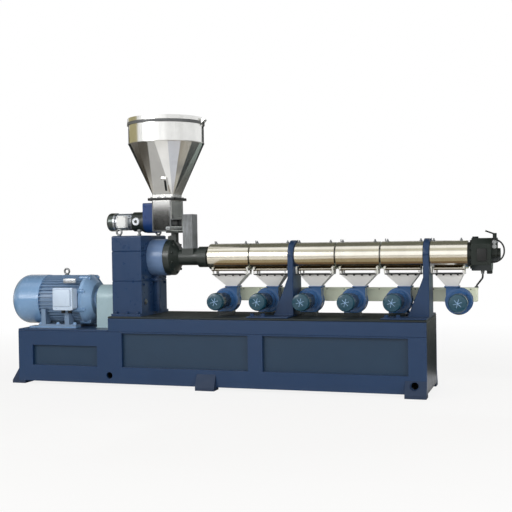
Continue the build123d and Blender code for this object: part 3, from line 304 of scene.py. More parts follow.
# Rolled sheet: a bright metal with fine grinding lines along one direction, which spread its
# highlights across the lines, and a faint stain here and there. The lines are drawn 3 mm apart or
# more, coarser than real ones, so that they show.
def ground_sheet(name, shade, roughness, line_mm, spread=0.10, stain=0.14, masks=(), metallic=1.0):
    cloud_mm = 160
    tree, shader, place = new_finish(name)[1:]
    lines = add_node(
        tree, "ShaderNodeMapping", {"Vector": place, "Scale": tuple(1000 / mm for mm in line_mm)}
    )
    grain = add_node(
        tree, "ShaderNodeTexNoise", {"Vector": lines.outputs[0], "Scale": 1, "Detail": 4, "Roughness": 0.65}
    )
    cloud = add_node(
        tree, "ShaderNodeTexNoise", {"Vector": place, "Scale": 1000 / cloud_mm, "Detail": 5, "Roughness": 0.6}
    )
    blend = add_node(
        tree, "ShaderNodeMath", {0: grain.outputs[0], 1: cloud.outputs[0]}, operation="MULTIPLY"
    )
    tone = add_node(tree, "ShaderNodeMapRange", {0: blend.outputs[0], 1: 0.12, 2: 0.40, 3: 0.0, 4: 1.0})
    metal = add_node(
        tree, "ShaderNodeMix",
        {0: tone.outputs[0], 6: tinted(shade, 1 - 2 * stain), 7: tinted(shade, 1 + stain)},
        data_type="RGBA",
    )
    spot = add_node(tree, "ShaderNodeSeparateXYZ", {0: place})
    for mask in masks:
        metal = second_tone(tree, spot, metal, mask)
    gloss = add_node(
        tree, "ShaderNodeMapRange",
        {0: grain.outputs[0], 1: 0.3, 2: 0.7, 3: roughness - spread / 2, 4: roughness + spread / 2},
    )
    bump = add_node(
        tree, "ShaderNodeBump", {"Strength": 0.012, "Distance": 0.0004, "Height": grain.outputs[0]}
    )
    fill(tree, shader, {
        "Base Color": metal.outputs[2], "Roughness": gloss.outputs[0], "Normal": bump.outputs[0],
        "Metallic": metallic,
    })


# Sand-cast iron, blackened and oiled: a dark skin of coarse grains with shiny oily patches.
def oiled_casting(name, shade, ior=1.6):
    roughness, grain_mm, oil_mm = 0.42, 6, 90
    tree, shader, place = new_finish(name)[1:]
    grain = add_node(
        tree, "ShaderNodeTexNoise", {"Vector": place, "Scale": 1000 / grain_mm, "Detail": 3, "Roughness": 0.7}
    )
    oil, skin = mottled(tree, place, oil_mm, 4, 0.6, shade, 0.7, 1.5)
    gloss = add_node(
        tree, "ShaderNodeMapRange",
        {0: oil, 1: 0.35, 2: 0.65, 3: roughness - 0.12, 4: roughness + 0.1},
    )
    bump = add_node(
        tree, "ShaderNodeBump", {"Strength": 0.22, "Distance": 0.0012, "Height": grain.outputs[0]}
    )
    fill(tree, shader, {
        "Base Color": skin.outputs[2], "Roughness": gloss.outputs[0], "Normal": bump.outputs[0], "IOR": ior,
    })


# Moulded or woven insulation and rubber: matt, slightly mottled.
def matt_moulding(name, shade, roughness, grain_mm=3):
    tree, shader, place = new_finish(name)[1:]
    grain, skin = mottled(tree, place, grain_mm, 3, 0.6, shade, 0.85, 1.1)
    bump = add_node(tree, "ShaderNodeBump", {"Strength": 0.15, "Distance": 0.0004, "Height": grain})
    fill(tree, shader, {"Base Color": skin.outputs[2], "Normal": bump.outputs[0], "Roughness": roughness})


def plate_edges(node, width):
    """Rounds the edges of a plate-built node with modifiers; its own mesh stays as it is."""
    part = frame["nodes"][node]
    weld = part.modifiers.new("joined_triangles", "WELD")
    weld.merge_threshold = 0.00002
    flat = part.modifiers.new("flat_faces", "DECIMATE")
    flat.decimate_type = "DISSOLVE"
    flat.angle_limit = radians(1)
    bevel = part.modifiers.new("edge_round", "BEVEL")
    bevel.width = width
    bevel.segments = 2
    bevel.limit_method = "ANGLE"
    bevel.angle_limit = radians(40)
    bevel.use_clamp_overlap = True
    bevel.harden_normals = True


def turned_to(place, axis):
    """Matrix that sets a shape built along Z at a place, looking along an axis."""
    return Matrix.Translation(place) @ UP.rotation_difference(Vector(axis)).to_matrix().to_4x4()


def turns(count, first):
    """Evenly spread angles round a circle, from a first one in degrees."""
    return [radians(first + 360 / count * turn) for turn in range(count)]


def ring(centre, count, radius, first):
    """Evenly spread places on a circle across the machine's length."""
    return [Vector(centre) + Vector((0, cos(angle), sin(angle))) * radius for angle in turns(count, first)]


def add_cone(bm, matrix, radius, end_radius, depth, segments):
    """A capped round or prism between two radii, centred on a matrix."""
    bmesh.ops.create_cone(
        bm, cap_ends=True, segments=segments, radius1=radius, radius2=end_radius, depth=depth, matrix=matrix
    )


def add_bolt(bm, place, axis, flats, washer=True):
    """A hexagon head on its washer, seated at a place; its sizes follow the width across its flats."""
    at = turned_to(place, axis)
    seat = flats * 0.12 if washer else 0
    disc, high, corner, crown = flats * 0.95, flats * 0.62, flats * 0.577, flats * 0.46
    if washer:
        add_cone(bm, at @ Matrix.Translation((0, 0, seat / 2)), disc, disc, seat, 18)
    add_cone(bm, at @ Matrix.Translation((0, 0, seat + high * 0.4)), corner, corner, high * 0.8, 6)
    add_cone(bm, at @ Matrix.Translation((0, 0, seat + high * 0.9)), corner, crown, high * 0.2, 6)


def add_cube(bm, low, high, span):
    """A cube of a span, centred between two corners."""
    middle = Matrix.Translation((low + high) / 2)
    return bmesh.ops.create_cube(bm, size=1, matrix=middle @ Matrix.Diagonal((*span, 1)))


def add_block(bm, low, high, edge):
    """A block between two corners, with rounded edges."""
    low, high = Vector(low), Vector(high)
    made = add_cube(bm, low, high, high - low)
    edges = list(dict.fromkeys(e for v in made["verts"] for e in v.link_edges))
    bmesh.ops.bevel(
        bm, geom=edges, offset=edge, offset_type="OFFSET", segments=2, profile=0.5, affect="EDGES",
        material=-1,
    )


def add_turned(bm, profile, place, axis, steps):
    """A turned shape: radius and height pairs, spun round an axis at a place."""
    verts = [bm.verts.new((radius, 0, high)) for radius, high in profile]
    edges = [bm.edges.new(pair) for pair in zip(verts, verts[1:])]
    bmesh.ops.spin(
        bm, geom=verts + edges, cent=(0, 0, 0), axis=(0, 0, 1), angle=2 * pi, steps=steps, use_merge=True
    )
    shell = dict.fromkeys(verts)
    grown = verts
    while grown:
        near = dict.fromkeys(w for v in grown for e in v.link_edges for w in e.verts)
        grown = [v for v in near if v not in shell]
        shell.update(dict.fromkeys(grown))
    bmesh.ops.transform(bm, matrix=turned_to(place, axis), verts=list(shell))
    bmesh.ops.remove_doubles(bm, verts=list(shell), dist=0.00001)


def add_rod(bm, start, end, radius, segments=16):
    """A round rod between two points."""
    start, end = Vector(start), Vector(end)
    run = end - start
    add_cone(bm, turned_to((start + end) / 2, run), radius, radius, run.length, segments)


def place_piece(bm, name, finish):
    """Makes an object of a shape, with its finish, and lets it ride on the machine's body."""
    bmesh.ops.recalc_face_normals(bm, faces=bm.faces[:])
    mesh = bpy.data.meshes.new(name)
    bm.to_mesh(mesh)
    bm.free()
    mesh.shade_smooth()
    mesh.set_sharp_from_angle(angle=radians(33))
    mesh.materials.append(bpy.data.materials[finish])
    piece = bpy.data.objects.new(name, mesh)
    bpy.context.scene.collection.objects.link(piece)
    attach(piece, "machine")


def zone_edges():
    """X of the heater covers' ends and seams."""
    low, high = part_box("heater_covers")
    return [low.x + sizes().zone_pitch * n for n in range(sizes().zone_count)] + [high.x]


def blower_places():
    """Outlet X and shaft X of each blower."""
    edges = zone_edges()
    places = []
    for left, right in zip(edges, edges[1:]):
        outlet = (left + right) / 2
        places.append((outlet, outlet - sizes().blower_offset))
    outlet = (edges[-2] + edges[-1]) / 2 + sizes().last_outlet_shift
    places[-1] = (outlet, outlet + sizes().blower_offset)
    return places


class EXTRUDER_OT_finishes(Operator):
    """Makes the finishes and gives each node of the frame its own"""

    bl_idname = "extruder.finishes"
    bl_label = "Finishes"

    def execute(self, context):
        paint = colours()
        for name, shade, roughness, coat in (
            ("navy_enamel_sprayed", paint.base, 0.34, 0),
            ("panel_enamel_sprayed", paint.panel, 0.4, 0),
            ("motor_enamel_sprayed", paint.motor, 0.24, 0.8),
            ("fins_enamel_sprayed", paint.fins, 0.3, 0.2),
            # Shield enamel lightened as painted light.
            ("shield_enamel_painted_light", paint.shield, 0.24, 0.35),
            ("terminal_enamel_sprayed", paint.terminal, 0.3, 0),
            ("guard_enamel_sprayed", paint.guard, 0.28, 0),
            ("gearbox_enamel_sprayed", paint.gearbox, 0.3, 0.1),
            ("chain_guard_enamel_sprayed", paint.chain_guard, 0.3, 0),
            # Deck enamel darkened as painted shade.
            ("deck_enamel_painted_shade", paint.deck, 0.45, 0),
            # End-plate enamel darkened as painted shade.
            ("end_enamel_painted_shade", paint.end_plate, 0.36, 0),
            # Foot enamel darker than the base as painted shade.
            ("foot_enamel_painted_shade", paint.foot, 0.6, 0),
            # Thrust-housing enamel lightened as a painted highlight.
            ("thrust_enamel_painted_highlight", paint.thrust, 0.3, 0.15),
            ("feeder_box_enamel_sprayed", linear("#F1F3F1"), 0.3, 0),
            ("hood_enamel_sprayed", paint.hood, 0.42, 0),
            # Duct enamel lightened as painted light.
            ("duct_enamel_painted_light", paint.duct, 0.45, 0),
        ):
            sprayed_enamel(name, shade, roughness, coat)
        # Below a height just over the deck, the scroll paint turns to the dark deck colour: painted shade
        # under the scrolls, which hides their feet.
        shaded_foot_height, plate_thickness = 0.030, 0.014
        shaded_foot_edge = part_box("barrel_deck")[1].z + shaded_foot_height
        sprayed_enamel("blower_enamel_painted_shade", paint.blower, 0.22, 0.5, [("Z", shaded_foot_edge, -1, paint.deck)])
        cap_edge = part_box("blower_motors")[0].y + sizes().cap_length
        plate_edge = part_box("blower_motors")[1].y - plate_thickness
        motor_masks = [("Y", cap_edge, 1, paint.blower_body), ("Y", plate_edge, 1, paint.blower)]
        sprayed_enamel("blower_motor_enamel_masked", paint.blower_cap, 0.26, 0.35, motor_masks)
        ground_sheet("stainless_sheet_brushed", paint.stainless, 0.19, (5, 5, 260), stain=0.06)
        ground_sheet("trough_sheet_polished", paint.stainless, 0.08, (5, 5, 260), spread=0.03, stain=0.06)
        saddle_gap = 0.0015
        cover_low, cover_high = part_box("heater_covers")
        saddle_edge = cover_high.z - (cover_high.y - cover_low.y) + saddle_gap
        # Below the covers' round bottom the sheet is coloured dark brown.
        ground_sheet(
            "cover_sheet_polished", paint.cover, 0.17, (420, 4, 4), spread=0.06, stain=0.05,
            masks=[("Z", saddle_edge, -1, paint.scale)],
        )
        ground_sheet("galvanised_sheet_rolled", paint.stack, 0.5, (9, 9, 120), stain=0.30, metallic=0.15)
        ground_sheet("aluminium_die_cast", paint.aluminium, 0.36, (8, 8, 8))
        cowl_length = 0.062
        cowl_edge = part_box("feeder_motor")[0].x + cowl_length
        ground_sheet(
            "feeder_motor_cast", paint.aluminium, 0.3, (8, 8, 8),
            masks=[("X", cowl_edge, -1, linear("#5E6462"))],
        )
        ground_sheet("steel_turned", linear("#8D9092"), 0.3, (3, 60, 60))
        ground_sheet("zinc_plated_steel", linear("#B7BBBD"), 0.3, (12, 12, 12))
        oiled_casting("cast_iron_blackened", paint.casting)
        oiled_casting("die_steel_blackened", linear("#101A16"), ior=1.45)
        ground_sheet("steel_blackened", linear("#33383A"), 0.35, (12, 12, 12))
        matt_moulding("rubber_moulded", linear("#141617"), 0.55)
        # Grey rubber of the rim seal, which is painted shade under the lid.
        matt_moulding("rubber_grey_painted_shade", linear("#5C5E60"), 0.45)
        matt_moulding("glass_fibre_sleeve_woven", linear("#E6E7E0"), 0.75, grain_mm=4)
        matt_moulding("sight_glass_dark", linear("#101313"), 0.12, grain_mm=40)
        by_slot = {
            "base_paint": "navy_enamel_sprayed",
            "motor_paint": "motor_enamel_sprayed",
            "terminal_paint": "terminal_enamel_sprayed",
            "guard_paint": "guard_enamel_sprayed",
            "machined_steel": "steel_turned",
            "gearbox_paint": "gearbox_enamel_sprayed",
            "black_casting": "cast_iron_blackened",
            "stainless_sheet": "stainless_sheet_brushed",
            "stack_sheet": "galvanised_sheet_rolled",
            "sight_glass": "sight_glass_dark",
            "motor_casting": "aluminium_die_cast",
            "blower_paint": "blower_enamel_painted_shade",
            "hood_paint": "hood_enamel_sprayed",
            "duct_paint": "duct_enamel_painted_light",
            "lead_rubber": "rubber_moulded",
        }
        by_node = {
            "base_panels": "panel_enamel_sprayed",
            "chain_guard": "chain_guard_enamel_sprayed",
            "heater_covers": "cover_sheet_polished",
            "blower_motors": "blower_motor_enamel_masked",
            "motor_soles": "motor_enamel_sprayed",
            "motor_end_shield": "shield_enamel_painted_light",
            "motor_body": "fins_enamel_sprayed",
            "end_plates": "end_enamel_painted_shade",
            "barrel_deck": "deck_enamel_painted_shade",
            "anchor_feet": "foot_enamel_painted_shade",
            "thrust_housing": "thrust_enamel_painted_highlight",
            "feeder_terminal_box": "feeder_box_enamel_sprayed",
            "feeder_motor": "feeder_motor_cast",
            "feeder_trough": "trough_sheet_polished",
        }
        for node in ("barrel_flange", "die_block", "clamp_ring", "die_nozzle", "clamp_screw"):
            by_node[node] = "die_steel_blackened"
        for subpart in frame["record"]["subparts"]:
            node = subpart["node"]
            part = frame["nodes"][node]
            part.data.materials.clear()
            finish = by_node.get(node, by_slot[subpart["material_slot"]])
            part.data.materials.append(bpy.data.materials[finish])
        plates = (
            "side_frames upper_rails end_plates motor_deck barrel_deck anchor_feet barrel_supports"
            " support_caps wiring_duct duct_brackets die_block feeder_trough feeder_end_plate"
            " motor_terminal_box"
        )
        for node in plates.split():
            plate_edges(node, sizes().edge_round)
        return {"FINISHED"}


class EXTRUDER_OT_base(Operator):
    """Bolts on the supports' caps and foot strips, black cross tubes behind the lifting holes as painted
    shade
    """

    bl_idname = "extruder.base"
    bl_label = "Base fasteners"

    def execute(self, context):
        strip_thickness, strip_runs, strip_half = 0.012, (-0.29, -0.20), 0.25
        tube_clearance, tube_wall = 0.0005, 0.006
        bolts = bmesh.new()
        low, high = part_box("support_caps")
        strip_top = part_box("barrel_deck")[1].z + strip_thickness
        supports = (zone_edges()[2], zone_edges()[5])
        for x in supports:
            for angle in (radians(58), radians(122)):
                out = Vector((0, cos(angle), sin(angle)))
                add_bolt(bolts, Vector((x, 0, low.z)) + out * (high.z - low.z), out, sizes().small_bolt)
        for x in supports:
            for run in strip_runs:
                for y in (-strip_half, strip_half):
                    add_bolt(bolts, (x + run, y, strip_top), UP, sizes().large_bolt)
        place_piece(bolts, "support_bolts", "navy_enamel_sprayed")
        # The cross tubes are black rubber: painted shade inside the lifting holes.
        tubes = bmesh.new()
        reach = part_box("end_plates")[1].y
        for mount in frame["record"]["mounts"]:
            if mount["name"].startswith("lifting_hole") and mount["name"].endswith("front"):
                x, y, z = mount["pos_m"]
                bore = mount["dims"]["r_mm"] / 1000 + tube_clearance
                wall = bore + tube_wall
                profile = [(bore, -reach), (wall, -reach), (wall, reach), (bore, reach), (bore, -reach)]
                add_turned(tubes, profile, (x, 0, z), FRONT, 36)
        place_piece(tubes, "lifting_tubes_painted_shade", "rubber_moulded")
        return {"FINISHED"}


class EXTRUDER_OT_motor(Operator):
    """Drive motor: shield lugs and bolts, foot bolts, terminal lid, glands and blank plate"""

    bl_idname = "extruder.motor"
    bl_label = "Motor fittings"

    def execute(self, context):
        lug_inset, lug_half, lug_bolt = 0.012, 0.040, 0.022
        cap_rim, cap_bolt = 0.072, 0.014
        foot_thickness, foot_half, foot_bolt, first_foot, last_foot = 0.018, 0.195, 0.024, 0.018, 0.022
        lid_side, lid_foot, lid_proud, lid_edge = 0.014, 0.034, 0.016, 0.008
        gland_depth, gland_seat = 0.062, 0.006
        plate_front, plate_back, plate_edge = -0.206, -0.190, 0.002
        plate_left, plate_right, plate_low, plate_high = 0.045, 0.165, 0.034, 0.074
        body_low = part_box("motor_body")[0]
        shield_low, shield_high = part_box("motor_end_shield")
        box_low, box_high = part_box("motor_terminal_box")
        axis_z = (shield_low.z + shield_high.z) / 2
        rim = (shield_high.z - shield_low.z) / 2
        lugs = bmesh.new()
        bolts = bmesh.new()
        for seat in ring((shield_low.x, 0, axis_z), 8, rim - lug_inset, 22.5):
            add_turned(lugs, SHIELD_LUG, seat, DIEWARD, 20)
            add_bolt(bolts, seat + DIEWARD * lug_half, DIEWARD, lug_bolt)
            add_bolt(bolts, seat - DIEWARD * lug_half, DRIVEWARD, lug_bolt)
        for seat in ring((shield_high.x, 0, axis_z), 6, cap_rim, 0):
            add_bolt(bolts, seat, DIEWARD, cap_bolt)
        sole_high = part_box("motor_soles")[1]
        foot_top = sole_high.z + foot_thickness
        for x in (body_low.x + first_foot, sole_high.x - last_foot, (body_low.x + sole_high.x) / 2):
            for y in (-foot_half, foot_half):
                add_bolt(bolts, (x, y, foot_top), UP, foot_bolt)
        place_piece(lugs, "shield_lugs", "motor_enamel_sprayed")
        # The motor's bolts take the shield's enamel, which is lightened as painted light.
        place_piece(bolts, "motor_bolts", "shield_enamel_painted_light")
        lid = bmesh.new()
        add_block(
            lid,
            (box_low.x + lid_side, box_low.y - lid_proud, box_low.z + lid_foot),
            (box_high.x - lid_side, box_low.y + lid_proud / 2, box_high.z - lid_side),
            lid_edge,
        )
        for x in (box_low.x + lid_foot, box_high.x - lid_foot):
            add_bolt(lid, (x, box_low.y, box_low.z + lid_foot / 2), FRONT, sizes().screw)
        place_piece(lid, "terminal_lid", "terminal_enamel_sprayed")
        glands = bmesh.new()
        for share in (0.35, 0.7):
            x = box_low.x + share * (box_high.x - box_low.x)
            spot = (x, box_low.y + gland_depth, box_low.z + gland_seat)
            add_turned(glands, MOTOR_GLAND, spot, DOWN, 18)
        place_piece(glands, "motor_glands", "rubber_moulded")
        plate = bmesh.new()
        add_block(
            plate,
            (box_low.x + plate_left, plate_front, box_high.z + plate_low),
            (box_low.x + plate_right, plate_back, box_high.z + plate_high),
            plate_edge,
        )
        place_piece(plate, "blank_plate", "aluminium_die_cast")
        return {"FINISHED"}


class EXTRUDER_OT_gearbox(Operator):
    """Gearbox: foot bolts, case bolts, breather, sight plug, ribs under the thrust housing"""

    bl_idname = "extruder.gearbox"
    bl_label = "Gearbox fittings"

    def execute(self, context):
        foot_inset, foot_thickness, foot_bolt = 0.017, 0.022, 0.022
        case_rows, case_step, case_bolt = (-0.215, -0.07, 0.07, 0.215), 0.028, 0.018
        middle_rows, thrust_clearance = 0.1, 0.02
        rib_sink, rib_edge, rib_half, rib_reach, rib_rise = 0.002, 0.004, 0.028, 0.05, 0.006
        shelf_half, shelf_reach, shelf_low, shelf_high = 0.075, 0.062, 0.045, 0.020
        breather_x, breather_y = 0.035, 0.05
        plug_y, plug_rise = -0.19, 0.12
        low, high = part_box("gearbox_lower_case")
        case_low, case_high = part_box("gearbox_middle_case")
        cover_low, cover_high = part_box("gearbox_cover")
        thrust_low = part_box("thrust_housing")[0]
        bolts = bmesh.new()
        for share in (0.14, 0.5, 0.86):
            x = low.x + share * (high.x - low.x)
            for y in (low.y + foot_inset, high.y - foot_inset):
                add_bolt(bolts, (x, y, low.z + foot_thickness), UP, foot_bolt)
        for z in (case_low.z, case_high.z):
            for y in case_rows:
                for step in (-case_step, case_step):
                    spot = Vector((case_high.x, y, z + step))
                    behind_thrust = abs(y) < middle_rows and spot.z > thrust_low.z - thrust_clearance
                    if not behind_thrust:
                        add_bolt(bolts, spot, DIEWARD, case_bolt)
                    add_bolt(bolts, Vector((case_low.x, y, z + step)), DRIVEWARD, case_bolt)
        place_piece(bolts, "gearbox_bolts", "gearbox_enamel_sprayed")
        rib = bmesh.new()
        add_block(
            rib,
            (high.x - rib_sink, -rib_half, low.z + foot_thickness),
            (high.x + rib_reach, rib_half, thrust_low.z + rib_rise),
            rib_edge,
        )
        add_block(
            rib,
            (high.x - rib_sink, -shelf_half, thrust_low.z - shelf_low),
            (high.x + shelf_reach, shelf_half, thrust_low.z - shelf_high),
            rib_edge,
        )
        place_piece(rib, "thrust_rib", "gearbox_enamel_sprayed")
        plugs = bmesh.new()
        spot = Vector((cover_high.x - breather_x, cover_low.y + breather_y, cover_high.z))
        add_turned(plugs, BREATHER, spot, UP, 20)
        add_turned(plugs, SIGHT_PLUG, (high.x, plug_y, low.z + plug_rise), DIEWARD, 20)
        place_piece(plugs, "gearbox_plugs", "steel_turned")
        return {"FINISHED"}


class EXTRUDER_OT_feeder(Operator):
    """Feeder: trough rims, recess liner as painted shade, flange bolts, feed nuts, reducer face as a painted
    highlight round a painted-shade hub, lid and guard screws
    """

    bl_idname = "extruder.feeder"
    bl_label = "Feeder fittings"

    def execute(self, context):
        panel_length, panel_drop, fold, fold_proud, fold_edge = 0.168, 0.012, 0.006, 0.005, 0.0015
        lip_drop, lip_rise, lip_reach, lip_edge = 0.006, 0.004, 0.016, 0.002
        recess_floor, recess_roof, recess_half, recess_depth = 0.0445, 0.0955, 0.1175, 0.0455
        liner, liner_edge = 0.003, 0.0005
        flange_inset, flange_thickness, flange_bolt = 0.010, 0.011, 0.013
        end_rows, end_rise = (-0.09, -0.03, 0.03, 0.09), 0.022
        side_steps, side_rise, side_bolt = (0.034, 0.016), 0.026, 0.014
        nut_circle, nut_seat, nut_flats = 0.128, 0.0705, 0.020
        reducer_shift, face_reach = 0.012, 0.078
        hub_circle, hub_seat, hub_bolt = 0.088, 0.022, 0.013
        screw_inset, guard_steps = 0.010, (0.03, 0.12)
        low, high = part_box("feeder_trough")
        plate_low, plate_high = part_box("feeder_end_plate")
        feed_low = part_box("feed_housing")[0]
        left, right = plate_low.x - panel_length, plate_low.x
        top = high.z - panel_drop
        rim = bmesh.new()
        for y, out in ((plate_low.y, -fold_proud), (plate_high.y, fold_proud)):
            inner, outer = sorted((y, y + out))
            add_block(rim, (left, inner, low.z), (left + fold, outer, top), fold_edge)
            add_block(rim, (right - fold, inner, low.z), (right, outer, top), fold_edge)
            add_block(rim, (left + fold, inner, low.z), (right - fold, outer, low.z + fold), fold_edge)
        add_block(
            rim,
            (right, plate_low.y, plate_low.z - lip_drop),
            (right + lip_reach, plate_high.y, plate_low.z + lip_rise),
            lip_edge,
        )
        place_piece(rim, "trough_rims", "galvanised_sheet_rolled")
        # The recess is lined with blackened plates as painted shade, which darkens the pocket.
        recess = bmesh.new()
        recess_low, recess_high, back = low.z + recess_floor, low.z + recess_roof, right - recess_depth
        add_block(
            recess, (back, -recess_half, recess_low), (back + liner, recess_half, recess_high), liner_edge
        )
        add_block(
            recess,
            (back + liner, -recess_half, recess_low),
            (right, recess_half, recess_low + liner),
            liner_edge,
        )
        place_piece(recess, "recess_painted_shade_liner", "steel_blackened")
        bolts = bmesh.new()
        for share in (0.12, 0.37, 0.63, 0.88):
            x = low.x + share * (high.x - low.x)
            for y in (low.y + flange_inset, high.y - flange_inset):
                add_bolt(bolts, (x, y, high.z + flange_thickness), UP, flange_bolt)
        for y in end_rows:
            add_bolt(bolts, (right, y, low.z + end_rise), DIEWARD, sizes().small_bolt)
        for step in side_steps:
            add_bolt(bolts, (right - step, low.y, low.z + side_rise), FRONT, side_bolt)
        barrel_low, barrel_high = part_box("barrel_tube")
        axis_z = (barrel_low.z + barrel_high.z) / 2
        nuts = bmesh.new()
        for seat in ring((feed_low.x + nut_seat, 0, axis_z), 10, nut_circle, 18):
            add_bolt(nuts, seat, DIEWARD, nut_flats, washer=False)
        place_piece(bolts, "feeder_bolts", "zinc_plated_steel")
        place_piece(nuts, "feed_nuts", "cast_iron_blackened")
        reducer_low, reducer_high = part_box("feeder_reducer")
        middle_x = (reducer_low.x + reducer_high.x) / 2 - reducer_shift
        middle = Vector((middle_x, 0, (reducer_low.z + reducer_high.z) / 2))
        # The pale aluminium ring on the black reducer is a painted highlight, the bright ring on its face.
        face = bmesh.new()
        add_turned(face, REDUCER_FACE, middle + FRONT * face_reach, FRONT, 28)
        place_piece(face, "reducer_face", "aluminium_die_cast")
        # The black rubber hub fills the face's hole as painted shade.
        hub = bmesh.new()
        add_turned(hub, REDUCER_HUB, middle + FRONT * face_reach, FRONT, 24)
        for seat in ring((reducer_high.x - hub_seat, 0, middle.z), 8, hub_circle, 22.5):
            add_bolt(hub, seat, DRIVEWARD, hub_bolt, washer=False)
        place_piece(hub, "reducer_hub", "rubber_moulded")
        guard_low, guard_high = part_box("chain_guard")
        screws = bmesh.new()
        box_low, box_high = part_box("feeder_terminal_box")
        for x in (box_low.x + screw_inset, box_high.x - screw_inset):
            for z in (box_low.z + screw_inset, box_high.z - screw_inset):
                add_bolt(screws, (x, box_low.y, z), FRONT, sizes().screw, washer=False)
        place_piece(screws, "feeder_screws", "zinc_plated_steel")
        pins = bmesh.new()
        for share in (0.2, 0.8):
            x = guard_low.x + share * (guard_high.x - guard_low.x)
            for step in guard_steps:
                add_bolt(pins, (x, guard_low.y, guard_high.z - step), FRONT, sizes().screw)
                add_bolt(pins, (x, guard_high.y, guard_high.z - step), REAR, sizes().screw)
        place_piece(pins, "chain_guard_screws", "chain_guard_enamel_sprayed")
        return {"FINISHED"}


class EXTRUDER_OT_hopper(Operator):
    """Hopper: rolled bead, grey rim seal as painted shade under the lid, flange gasket, window lip"""

    bl_idname = "extruder.hopper"
    bl_label = "Hopper fittings"

    def execute(self, context):
        rim_width, bead, bead_steps = 0.007, 0.004, 7
        seal_width, seal_low, seal_under, seal_over, seal_high = 0.009, -0.026, -0.024, -0.002, -0.0008
        gasket_half, gasket_width, gasket_low, gasket_high, gasket_edge = 0.1262, 0.012, 0.012, 0.0105, 0.001
        lip_left, lip_right, lip_proud, lip_back = 0.030, 0.022, 0.012, 0.018
        lip_low, lip_high, lip_edge = 0.004, 0.022, 0.003
        low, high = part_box("hopper_cylinder")
        cone_low, cone_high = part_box("hopper_cone")
        glass_low, glass_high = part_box("sight_glass")
        radius = (high.y - low.y) / 2 - rim_width
        x = (cone_low.x + cone_high.x) / 2
        beads = bmesh.new()
        arc = [radians(30 * n - 90) for n in range(bead_steps)]
        profile = [(radius + bead * cos(angle), bead * sin(angle)) for angle in arc]
        add_turned(beads, profile, (x, 0, cone_high.z), UP, 96)
        place_piece(beads, "hopper_beads", "stainless_sheet_brushed")
        lid_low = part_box("hopper_lid")[0]
        # The grey rubber band under the lid is painted shade: it darkens the gap under the lid's overhang.
        seal = bmesh.new()
        outer = radius + seal_width
        profile = [(radius, seal_low), (outer, seal_under), (outer, seal_over), (radius, seal_high)]
        add_turned(seal, profile, (x, 0, lid_low.z), UP, 96)
        place_piece(seal, "rim_seal_painted_shade", "rubber_grey_painted_shade")
        gasket = bmesh.new()
        bottom, top = cone_low.z - gasket_low, cone_low.z + gasket_high
        for side in (-1, 1):
            near, far = sorted((side * gasket_half, side * (gasket_half - gasket_width)))
            add_block(gasket, (x - gasket_half, near, bottom), (x + gasket_half, far, top), gasket_edge)
            add_block(gasket, (x + near, -gasket_half, bottom), (x + far, gasket_half, top), gasket_edge)
        place_piece(gasket, "flange_gasket", "rubber_moulded")
        lip = bmesh.new()
        middle = (glass_low.x + glass_high.x) / 2
        add_block(
            lip,
            (middle - lip_left, glass_low.y - lip_proud, glass_high.z + lip_low),
            (middle + lip_right, glass_low.y + lip_back, glass_high.z + lip_high),
            lip_edge,
        )
        place_piece(lip, "window_lip", "stainless_sheet_brushed")
        return {"FINISHED"}


class EXTRUDER_OT_barrel(Operator):
    """Barrel: cover studs, sensor stubs, hood bolts and gaskets, fibre sleeves over the heater leads"""

    bl_idname = "extruder.barrel"
    bl_label = "Barrel fittings"

    def execute(self, context):
        stud_y, sensor_inset, sensor_y, sensor_radius = -0.012, 0.029, 0.012, 0.004
        sensor_sink, sensor_rise = 0.006, 0.022
        flange_drop, sleeve_seat, sleeve_inset, sleeve_lean = 0.033, 0.006, 0.030, 0.004
        sleeve_top_y, sleeve_low_y, sleeve_rise = 0.060, 0.052, 0.022
        hood_bolt, hood_bolt_y = 0.013, 0.070
        gasket_proud, gasket_inset, gasket_low, gasket_high, gasket_edge = 0.0015, 0.034, 0.001, 0.0075, 0.001
        covers_low, covers_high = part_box("heater_covers")
        hood_low, hood_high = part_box("air_hoods")
        edges = zone_edges()
        radius = (covers_high.y - covers_low.y) / 2
        axis_z = covers_high.z - radius
        studs = bmesh.new()
        sleeves = bmesh.new()
        bolts = bmesh.new()
        flange_low = hood_high.z - flange_drop
        sleeve_end = flange_low + sleeve_seat
        sleeve_start = axis_z - radius + sleeve_rise
        gaskets = bmesh.new()
        for left, right in zip(edges, edges[1:]):
            for x in (left + sizes().stud_inset, right - sizes().stud_inset):
                add_turned(studs, COVER_STUD, (x, stud_y, covers_high.z), UP, 14)
            sensor = left + sensor_inset
            sensor_low = (sensor, sensor_y, covers_high.z - sensor_sink)
            add_rod(studs, sensor_low, (sensor, sensor_y, covers_high.z + sensor_rise), sensor_radius, 10)
            for x in (left + sleeve_inset, right - sleeve_inset):
                for side in (-1, 1):
                    start = (x, side * sleeve_top_y, sleeve_start)
                    end = (x - side * sleeve_lean, side * sleeve_low_y, sleeve_end)
                    add_rod(sleeves, start, end, sizes().sleeve_radius)
            for share in (0.24, 0.41, 0.59, 0.76):
                x = left + share * (right - left)
                for y in (-hood_bolt_y, hood_bolt_y):
                    add_bolt(bolts, (x, y, flange_low), DOWN, hood_bolt)
            for y, out in ((hood_low.y, -gasket_proud), (hood_high.y, gasket_proud)):
                near, far = sorted((y + out, y - 4 * out))
                add_block(
                    gaskets,
                    (left + gasket_inset, near, flange_low - gasket_low),
                    (right - gasket_inset, far, flange_low + gasket_high),
                    gasket_edge,
                )
        place_piece(studs, "cover_studs", "steel_turned")
        place_piece(sleeves, "lead_sleeves", "glass_fibre_sleeve_woven")
        place_piece(bolts, "hood_bolts", "steel_blackened")
        place_piece(gaskets, "hood_gaskets", "rubber_moulded")
        return {"FINISHED"}


